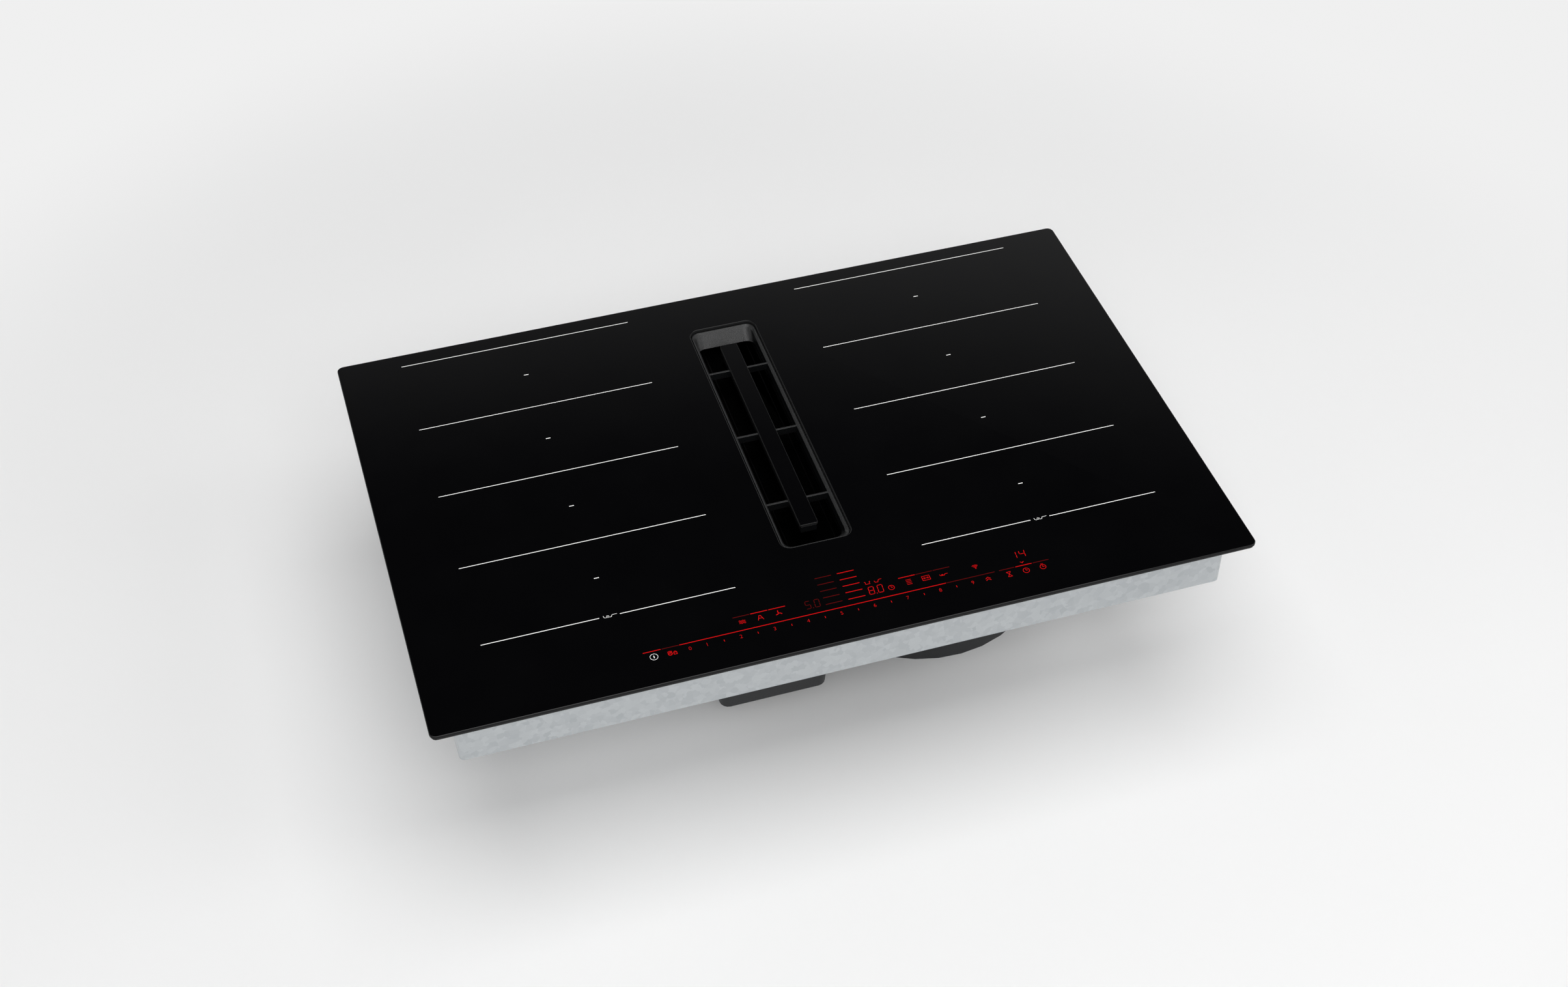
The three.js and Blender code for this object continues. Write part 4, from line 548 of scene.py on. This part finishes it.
def stroke(shape, points, width, closed=False):
    """A flat line of this width from point to point, in millimetres on the glass."""
    ends = points + points[:1] if closed else points
    for (x0, y0), (x1, y1) in zip(ends, ends[1:]):
        length = math.hypot(x1 - x0, y1 - y0) + (width * CORNER_LAP if len(ends) > 2 else 0)
        middle = Vector(((x0 + x1) / 2, (y0 + y1) / 2, glass_top + PRINT_THICK / 2)) * MM
        turn = Matrix.Rotation(math.atan2(y1 - y0, x1 - x0), 4, "Z")
        size = Matrix.Diagonal((length * MM, width * MM, PRINT_THICK * MM, 1))
        bmesh.ops.create_cube(shape, size=1, matrix=Matrix.Translation(middle) @ turn @ size)


def arc(x, y, radius, start=0, sweep=360, steps=16):
    """Points around a middle, from an angle over a sweep in degrees."""
    turns = [math.radians(start + sweep * i / steps) for i in range(steps + 1)]
    return [(x + radius * math.cos(t), y + radius * math.sin(t)) for t in turns]


def make_piece(name, shape, material, body):
    """Turns a finished shape into a piece that rides on a body."""
    bmesh.ops.recalc_face_normals(shape, faces=shape.faces)
    mesh = bpy.data.meshes.new(name)
    shape.to_mesh(mesh)
    shape.free()
    mesh.materials.append(material)
    item = bpy.data.objects.new(name, mesh)
    bpy.context.scene.collection.objects.link(item)
    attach(item, body)


def make_indicators(name, bright, dim):
    """The bright and the dimmed lights of one group of controls."""
    make_piece(f"{name}_lights", bright, LIGHT_BRIGHT, "housing")
    make_piece(f"{name}_lights_dimmed", dim, LIGHT_DIM, "housing")


def pot(shape, x, y, width, height):
    """A pot from the side, with its two handles."""
    left, right, rim = x - width / 2, x + width / 2, y + height
    stroke(shape, [(left, rim), (left, y), (right, y), (right, rim)], ICON_LINE)
    stroke(shape, [(left - 1, rim), (left, rim)], ICON_LINE)
    stroke(shape, [(right, rim), (right + 1, rim)], ICON_LINE)


def pan(shape, x, y, width, handle):
    """A shallow pan from the side, with one long handle that rises to the right."""
    right = x + width
    stroke(shape, [(x, y + 2), (x + 0.8, y), (right - 0.8, y), (right, y + 2)], ICON_LINE)
    stroke(shape, [(right, y + 2), (right + 1.2, y + 2.8), (right + handle, y + 2.8)], ICON_LINE)


def probe_pan(shape, x, y, size):
    """A pan from the side, in three strokes: its left wall, a probe on its base, and its right
    wall with a long handle."""
    wall = [(-6.4, 1.3), (-6.1, -0.6), (-5.2, -1.3), (-3.9, -1.3)]
    handle = [(-1.1, -1.4), (0.8, -1.3), (1.7, 0.9), (6.4, 1.1)]
    for line in (wall, handle):
        stroke(shape, [(x + a * size, y + b * size) for a, b in line], ICON_LINE)
    stroke(shape, arc(x - 2.5 * size, y - 0.2 * size, 1.2 * size, 0, 360, 12), ICON_LINE)
    stroke(shape, [(x - 2.8 * size, y - 0.2 * size), (x - 2.2 * size, y - 0.2 * size)], 0.6 * size)


def zone_marks():
    """The printed lines and dashes of both cooking zones."""
    shape = bmesh.new()
    for side in (-1, 1):
        middle = side * ZONE_X
        for i in range(ZONE_LINES):
            y = ZONE_Y + ((ZONE_LINES - 1) / 2 - i) * ZONE_PITCH
            left, right = middle - ZONE_WIDTH / 2, middle + ZONE_WIDTH / 2
            if i < ZONE_LINES - 1:
                stroke(shape, [(left, y), (right, y)], PRINT_LINE)
                dash_y = y - ZONE_PITCH / 2
                stroke(shape, [(middle - DASH / 2, dash_y), (middle + DASH / 2, dash_y)], DASH_LINE)
            else:
                stroke(shape, [(left, y), (middle - ZONE_GAP / 2, y)], PRINT_LINE)
                stroke(shape, [(middle + ZONE_GAP / 2, y), (right, y)], PRINT_LINE)
                probe_pan(shape, middle + 0.7, y, 1.0)
    make_piece("zone_marks", shape, PRINT, "housing")


def write_digit(shape, text, x):
    """A small digit under the slider."""
    curve = bpy.data.curves.new("digit", "FONT")
    curve.body = text
    curve.size = DIGIT_HEIGHT / DIGIT_SHARE
    curve.align_x = "CENTER"
    curve.align_y = "CENTER"
    curve.extrude = PRINT_THICK / 2
    curve.offset = -DIGIT_THINNED
    curve.resolution_u = 3
    holder = bpy.data.objects.new("digit", curve)
    mesh = bpy.data.meshes.new_from_object(holder)
    middle = Vector((x, DIGIT_Y, glass_top + PRINT_THICK / 2)) * MM
    mesh.transform(Matrix.Translation(middle) @ Matrix.Scale(MM, 4))
    shape.from_mesh(mesh)
    bpy.data.objects.remove(holder)
    bpy.data.curves.remove(curve)
    bpy.data.meshes.remove(mesh)


# The bars of a seven-segment digit that are lit, by their usual letters.
LIT = {"0": "abcdef", "1": "bc", "4": "bcfg", "5": "acdfg", "8": "abcdefg"}


def seven_segment(shape, digit, left, low, width, height):
    """A digit of up to seven bars that leans a little to the right."""
    right, high, middle = left + width, low + height, low + height / 2
    bars = {
        "a": [(left + NICK, high), (right - NICK, high)],
        "b": [(right, high - NICK), (right, middle + NICK)],
        "c": [(right, middle - NICK), (right, low + NICK)],
        "d": [(left + NICK, low), (right - NICK, low)],
        "e": [(left, middle - NICK), (left, low + NICK)],
        "f": [(left, high - NICK), (left, middle + NICK)],
        "g": [(left + NICK, middle), (right - NICK, middle)],
    }
    for letter in LIT[digit]:
        leaning = [(x + (y - low) * DIGIT_LEAN, y) for x, y in bars[letter]]
        stroke(shape, leaning, SEGMENT_LINE)


def clock(shape, x, y, radius):
    stroke(shape, arc(x, y, radius), ICON_LINE)
    stroke(shape, [(x, y + radius * 0.65), (x, y), (x + radius * 0.5, y)], ICON_LINE)


def bar(shape, left, right, y):
    stroke(shape, [(left, y), (right, y)], LIGHT_LINE)


def slider_marks():
    """The slider with its digits, and the marks for boost, child lock and the timers."""
    bright, dim = bmesh.new(), bmesh.new()
    for left, right in ((-194.6, -178.1), (-160.6, 96.4), (165.6, 181.8)):
        bar(bright, left, right, ROW_Y)
    for left, right in ((-177.2, -161.2), (97.1, 144.7), (149.2, 164.6), (183.0, 198.9)):
        bar(dim, left, right, ROW_Y)
    write_digit(bright, "0", DIGIT_ONE_X - DIGIT_PITCH / 2)
    for i in range(9):
        x = DIGIT_ONE_X + i * DIGIT_PITCH
        write_digit(bright, str(i + 1), x)
        if i < 8:
            tick = x + DIGIT_PITCH / 2
            stroke(bright, [(tick, DIGIT_Y - TICK / 2), (tick, DIGIT_Y + TICK / 2)], SEGMENT_LINE)
    for rise in (0.0, 2.2):
        y = DIGIT_Y - 1.5 + rise
        stroke(bright, [(133.6, y), (135.9, y + 1.8), (138.2, y)], MARK_LINE)
    hand_and_lock(bright, -168.9, DIGIT_Y)
    hourglass(bright, 156.9, DIGIT_Y)
    clock(bright, 173.8, DIGIT_Y, 3.0)
    clock(bright, 190.5, DIGIT_Y - 0.3, 2.8)
    stroke(bright, [(189.3, DIGIT_Y + 3.4), (191.7, DIGIT_Y + 3.4)], ICON_LINE)
    make_indicators("slider", bright, dim)


def hand_and_lock(shape, x, y):
    """Four fingers over a palm, beside a small padlock."""
    for i in range(4):
        finger = x - 3.8 + i * 1.1
        stroke(shape, [(finger, y - 0.6), (finger, y + 2.2 + 0.5 * math.sin(i))], SEGMENT_LINE)
    stroke(shape, arc(x - 2.1, y - 0.6, 1.8, 180, 180, 6), THICK_LINE)
    case = [(x + 1.2, y - 2.4), (x + 4.0, y - 2.4), (x + 4.0, y), (x + 1.2, y)]
    stroke(shape, case, MARK_LINE, True)
    stroke(shape, arc(x + 2.6, y + 0.2, 1.1, 0, 180, 6), 0.4)


def hourglass(shape, x, y):
    corners = [(x - 2, y + 3), (x + 2, y + 3), (x - 2, y - 3), (x + 2, y - 3)]
    stroke(shape, corners, ICON_LINE, True)


def vent_lights():
    """Three fields for the vent: filter, automatic mode and fan."""
    bright, dim = bmesh.new(), bmesh.new()
    bar(dim, -105.3, -89.6, VENT_ROW_Y)
    bar(bright, -88.5, -72.2, VENT_ROW_Y)
    bar(bright, -71.1, -54.9, VENT_ROW_Y)
    for i in range(3):
        y = -207.6 + i * 1.5
        wave = [(-101.0 + k * 0.75, y + 0.45 * math.sin(k * 1.57)) for k in range(9)]
        stroke(bright, wave, ICON_LINE)
    stroke(bright, [(-83.4, -208.6), (-81.4, -203.2), (-80.2, -203.2), (-78.2, -208.6)], MARK_LINE)
    stroke(bright, [(-82.6, -206.6), (-79.0, -206.6)], MARK_LINE)
    blade = [(0.0, 0.0), (1.7, 0.4), (3.2, 0.1)]
    for i in range(3):
        angle = math.radians(90 + i * 120)
        cos, sin = math.cos(angle), math.sin(angle)
        turned = [(FAN_X + a * cos - b * sin, FAN_Y + a * sin + b * cos) for a, b in blade]
        stroke(bright, turned, THICK_LINE)
    make_indicators("vent", bright, dim)


def zone_lights():
    """The power levels of both zones, with a five-step ladder for each."""
    bright, dim = bmesh.new(), bmesh.new()
    for i in range(LADDER_STEPS):
        y = LADDER_Y - i * LADDER_PITCH
        bar(dim, -18.5, -2.5, y)
        bar(bright, 3.4, 19.8, y)
    seven_segment(dim, "5", -37.2, LEVEL_Y, 4.6, LEVEL_HEIGHT)
    seven_segment(dim, "0", -28.4, LEVEL_Y, 4.6, LEVEL_HEIGHT)
    stroke(dim, [(-31.0, LEVEL_Y), (-30.2, LEVEL_Y)], POINT_LINE)
    seven_segment(bright, "8", 24.5, LEVEL_Y, 4.8, LEVEL_HEIGHT)
    seven_segment(bright, "0", 33.2, LEVEL_Y, 4.8, LEVEL_HEIGHT)
    stroke(bright, [(30.9, LEVEL_Y), (31.7, LEVEL_Y)], POINT_LINE)
    pot(bright, 26.8, -195.6, 4.0, 2.8)
    pan(bright, 33.4, -195.6, 4.0, 3.4)
    clock(bright, 46.2, -206.2, 2.8)
    make_indicators("zone", bright, dim)


def function_lights():
    """Fields for the combined zone, move mode and frying, and the signal and timer beyond."""
    bright, dim = bmesh.new(), bmesh.new()
    bar(bright, 55.9, 72.2, FUNCTION_ROW_Y)
    bar(dim, 72.8, 89.3, FUNCTION_ROW_Y)
    bar(dim, 90.2, 106.5, FUNCTION_ROW_Y)
    for i in range(4):
        y = -207.2 + i * 1.9
        stroke(bright, [(61.7, y), (66.6, y)], ICON_LINE)
    box = [(77.3, -207.0), (84.7, -207.0), (84.7, -201.6), (77.3, -201.6)]
    stroke(bright, box, ICON_LINE, True)
    stroke(bright, [(79.4, -203.0), (79.4, -205.6)], ICON_LINE)
    stroke(bright, [(82.6, -203.0), (82.6, -205.6)], ICON_LINE)
    stroke(bright, [(77.3, -204.3), (84.7, -204.3)], ICON_LINE)
    probe_pan(bright, 98.3, -205.2, 0.6)
    for radius in (1.4, 2.8, 4.2):
        stroke(bright, arc(SIGNAL_X, SIGNAL_Y, radius, 50, 80, 8), MARK_LINE)
    stroke(bright, arc(SIGNAL_X, SIGNAL_Y, 0.3, 0, 360, 6), MARK_LINE)
    seven_segment(bright, "1", 168.9, TIMER_Y, 2.8, TIMER_HEIGHT)
    seven_segment(bright, "4", 175.2, TIMER_Y, 5.0, TIMER_HEIGHT)
    stroke(bright, [(172.2, -211.4), (173.8, -212.9), (175.4, -211.4)], MARK_LINE)
    make_indicators("function", bright, dim)


def power_mark():
    """The switch: a printed ring around a bar."""
    shape = bmesh.new()
    stroke(shape, arc(POWER_X, DIGIT_Y, 3.6, 0, 360, 24), MARK_LINE)
    stroke(shape, [(POWER_X, DIGIT_Y - 1.5), (POWER_X, DIGIT_Y + 1.5)], THICK_LINE)
    make_piece("power_mark", shape, PRINT, "housing")


# ---------------------------------------------------------------- face of the filter

STRAND = 0.55
DIAMOND_LONG = 4.4
DIAMOND_SHORT = 3.0
MAT_ACROSS = 5.05  # thickness of a mat, measured level
FACE_LIFT = 0.3  # of the face off the mat


def filter_face(side, name):
    """The expanded-metal face that holds the wire cloth, on the upper side of one mat."""
    low, high = (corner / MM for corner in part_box(f"filter_mat_{name}"))
    near = min(abs(low.x), abs(high.x))
    far = max(abs(low.x), abs(high.x)) - MAT_ACROSS
    slope = math.hypot(far - near, high.z - low.z)
    length = high.y - low.y
    shape = bmesh.new()
    bmesh.ops.create_grid(
        shape,
        x_segments=round(slope / DIAMOND_SHORT),
        y_segments=round(length / DIAMOND_LONG),
        size=0.5,
        matrix=Matrix.Diagonal((slope * MM, length * MM, 1, 1)),
    )
    straight = list(shape.edges)
    bmesh.ops.poke(shape, faces=shape.faces)
    inner = [edge for edge in straight if edge.is_valid and len(edge.link_faces) == 2]
    bmesh.ops.dissolve_edges(shape, edges=inner, use_verts=False)
    bmesh.ops.wireframe(
        shape,
        faces=shape.faces,
        thickness=STRAND * MM,
        use_replace=True,
        use_boundary=True,
        use_even_offset=True,
    )
    lean = math.atan2(high.z - low.z, far - near)
    middle = Vector((side * (near + far) / 2, (low.y + high.y) / 2, (low.z + high.z) / 2))
    outward = Vector((-side * math.sin(lean), 0, math.cos(lean))) * FACE_LIFT
    turn = Matrix.Rotation(-side * lean, 4, "Y")
    shape.transform(Matrix.Translation((middle + outward) * MM) @ turn)
    make_piece(f"filter_face_{name}", shape, FACE_STEEL, "cassette")


# ---------------------------------------------------------------- pan-head screws

# In millimetres, and shares of the head's radius.
HEAD_RADIUS = 4.2
HEAD_EDGE = 1.3
HEAD_SIDES = 24
HEAD_STEPS = ((0.92, 0.6), (0.76, 0.4), (0.55, 0.1))  # share that each step leaves, and its height
RECESS_DEPTH = 1.2
SPOKE_END = 0.52  # share at which the spokes of the cross recess end
SPOKE_ROOT = 0.2  # share at which they meet
SPOKE_WIDTH = 0.55  # sine of twice the angle between a spoke's middle and its side
SHANK_RADIUS = 2.0
SHANK_SIDES = 12
SHANK_APART = 0.05  # from the head, so that both are closed by themselves

LUG_THICK = 4.0
LUG_SCREWS = ((128.9, 129.6), (35.4, 63.4), (56.1, -83.9), (249.6, -89.6))
SHANK_SHORT = 0.3  # of the top of the lug
BRACKET_SCREW_SIZE = 0.85  # beside a lug screw
BRACKET_SCREW_OUT = 9.0  # from the middle of a clamp bracket
BRACKET_SCREW_DROP = 9.0  # below its top
BRACKET_SHEET = 2.0
BRACKET_ARM = 20.0


def push(shape, face, rise):
    """Extrudes one face straight up or down, and returns its new face."""
    made = bmesh.ops.extrude_face_region(shape, geom=[face])["geom"]
    bmesh.ops.delete(shape, geom=[face], context="FACES_ONLY")
    new = next(item for item in made if isinstance(item, bmesh.types.BMFace))
    bmesh.ops.translate(shape, vec=(0, 0, rise), verts=new.verts)
    return new


def pan_head(name, size, shank, place):
    """A pan-head screw with a cross recess, driven straight up and then put in its place."""
    shape = bmesh.new()
    radius = HEAD_RADIUS * size
    bmesh.ops.create_cone(
        shape,
        cap_ends=True,
        segments=HEAD_SIDES,
        radius1=radius,
        radius2=radius,
        depth=HEAD_EDGE,
        matrix=Matrix.Translation((0, 0, -HEAD_EDGE / 2)),
    )
    face = min(shape.faces, key=lambda side: side.calc_center_median().z)
    for share, drop in HEAD_STEPS:
        face = push(shape, face, -drop)
        for corner in face.verts:
            corner.co.xy = corner.co.xy.normalized() * radius * share
    face = push(shape, face, 0)
    for corner in face.verts:
        spoke = abs(math.sin(2 * math.atan2(corner.co.y, corner.co.x))) < SPOKE_WIDTH
        corner.co.xy = corner.co.xy.normalized() * radius * (SPOKE_END if spoke else SPOKE_ROOT)
    push(shape, face, RECESS_DEPTH)
    if shank:
        bmesh.ops.create_cone(
            shape,
            cap_ends=True,
            segments=SHANK_SIDES,
            radius1=SHANK_RADIUS,
            radius2=SHANK_RADIUS,
            depth=shank,
            matrix=Matrix.Translation((0, 0, shank / 2 + SHANK_APART)),
        )
    shape.transform(Matrix.Scale(MM, 4) @ place)
    make_piece(name, shape, SCREW_STEEL, "housing")


def lug_screws():
    """The screws that hold the spiral housing up to the plenum, one through each of its lugs."""
    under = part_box("scroll_housing")[1].z / MM - LUG_THICK
    shank = LUG_THICK - SHANK_SHORT
    for number, (x, y) in enumerate(LUG_SCREWS, 1):
        pan_head(f"lug_screw_{number}", 1.0, shank, Matrix.Translation((x, y, under)))


def bracket_screws():
    """Two screws that hold each clamp bracket to the wall of the tray."""
    for side, name in ((-1, "left"), (1, "right")):
        for end in ("front", "back"):
            low, high = (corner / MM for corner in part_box(f"clamp_bracket_{end}_{name}"))
            outer = high.x if side > 0 else low.x
            x = outer - side * (BRACKET_ARM - BRACKET_SHEET)
            turn = Matrix.Rotation(-side * math.pi / 2, 4, "Y")
            for number, along in ((1, -BRACKET_SCREW_OUT), (2, BRACKET_SCREW_OUT)):
                spot = (x, (low.y + high.y) / 2 + along, high.z - BRACKET_SCREW_DROP)
                piece = f"bracket_screw_{end}_{name}_{number}"
                pan_head(piece, BRACKET_SCREW_SIZE, 0, Matrix.Translation(spot) @ turn)


# ---------------------------------------------------------------- stage


def make_floor():
    """The floor on which the cooktop is shown, which isn't a part of it."""
    shape = bmesh.new()
    bmesh.ops.create_grid(shape, x_segments=1, y_segments=1, size=FLOOR_SIZE / 2)
    shape.transform(Matrix.Translation((0, 0, cad_box[0].z - FLOOR_DROP * MM)))
    mesh = bpy.data.meshes.new("floor")
    shape.to_mesh(mesh)
    shape.free()
    mesh.materials.append(LAMINATE)
    floor = bpy.data.objects.new("floor", mesh)
    bpy.context.scene.collection.objects.link(floor)


def make_world():
    """A studio that is pale up to half of its height and dark overhead, so that the glass
    stays black; the camera itself sees paper everywhere."""
    world = bpy.data.worlds.new("studio")
    bpy.context.scene.world = world
    world.use_nodes = True
    tree = world.node_tree
    tree.nodes.clear()
    place = add(tree, "ShaderNodeTexCoord").outputs["Generated"]
    height = add(tree, "ShaderNodeSeparateXYZ", {0: place}).outputs["Z"]
    inputs = {0: height, 1: PAPER_TOP, 2: DARK_FROM, 3: PAPER, 4: DARK}
    fall = add(tree, "ShaderNodeMapRange", inputs, interpolation_type="SMOOTHSTEP").outputs[0]
    studio = add(tree, "ShaderNodeBackground", {"Color": colour(WHITE), "Strength": fall})
    paper = add(tree, "ShaderNodeBackground", {"Color": colour(WHITE), "Strength": PAPER})
    ray = add(tree, "ShaderNodeLightPath").outputs["Is Camera Ray"]
    shown = add(tree, "ShaderNodeMixShader", {0: ray, 1: studio.outputs[0], 2: paper.outputs[0]})
    add(tree, "ShaderNodeOutputWorld", {"Surface": shown.outputs[0]})


bpy.context.scene.view_settings.view_transform = "Standard"
make_camera()
make_floor()
make_world()
for lamp_name, settings in LAMPS.items():
    make_lamp(lamp_name, *settings)
finish_nodes()
zone_marks()
slider_marks()
vent_lights()
zone_lights()
function_lights()
power_mark()
filter_face(-1, "left")
filter_face(1, "right")
lug_screws()
bracket_screws()

bpy.context.view_layer.update()
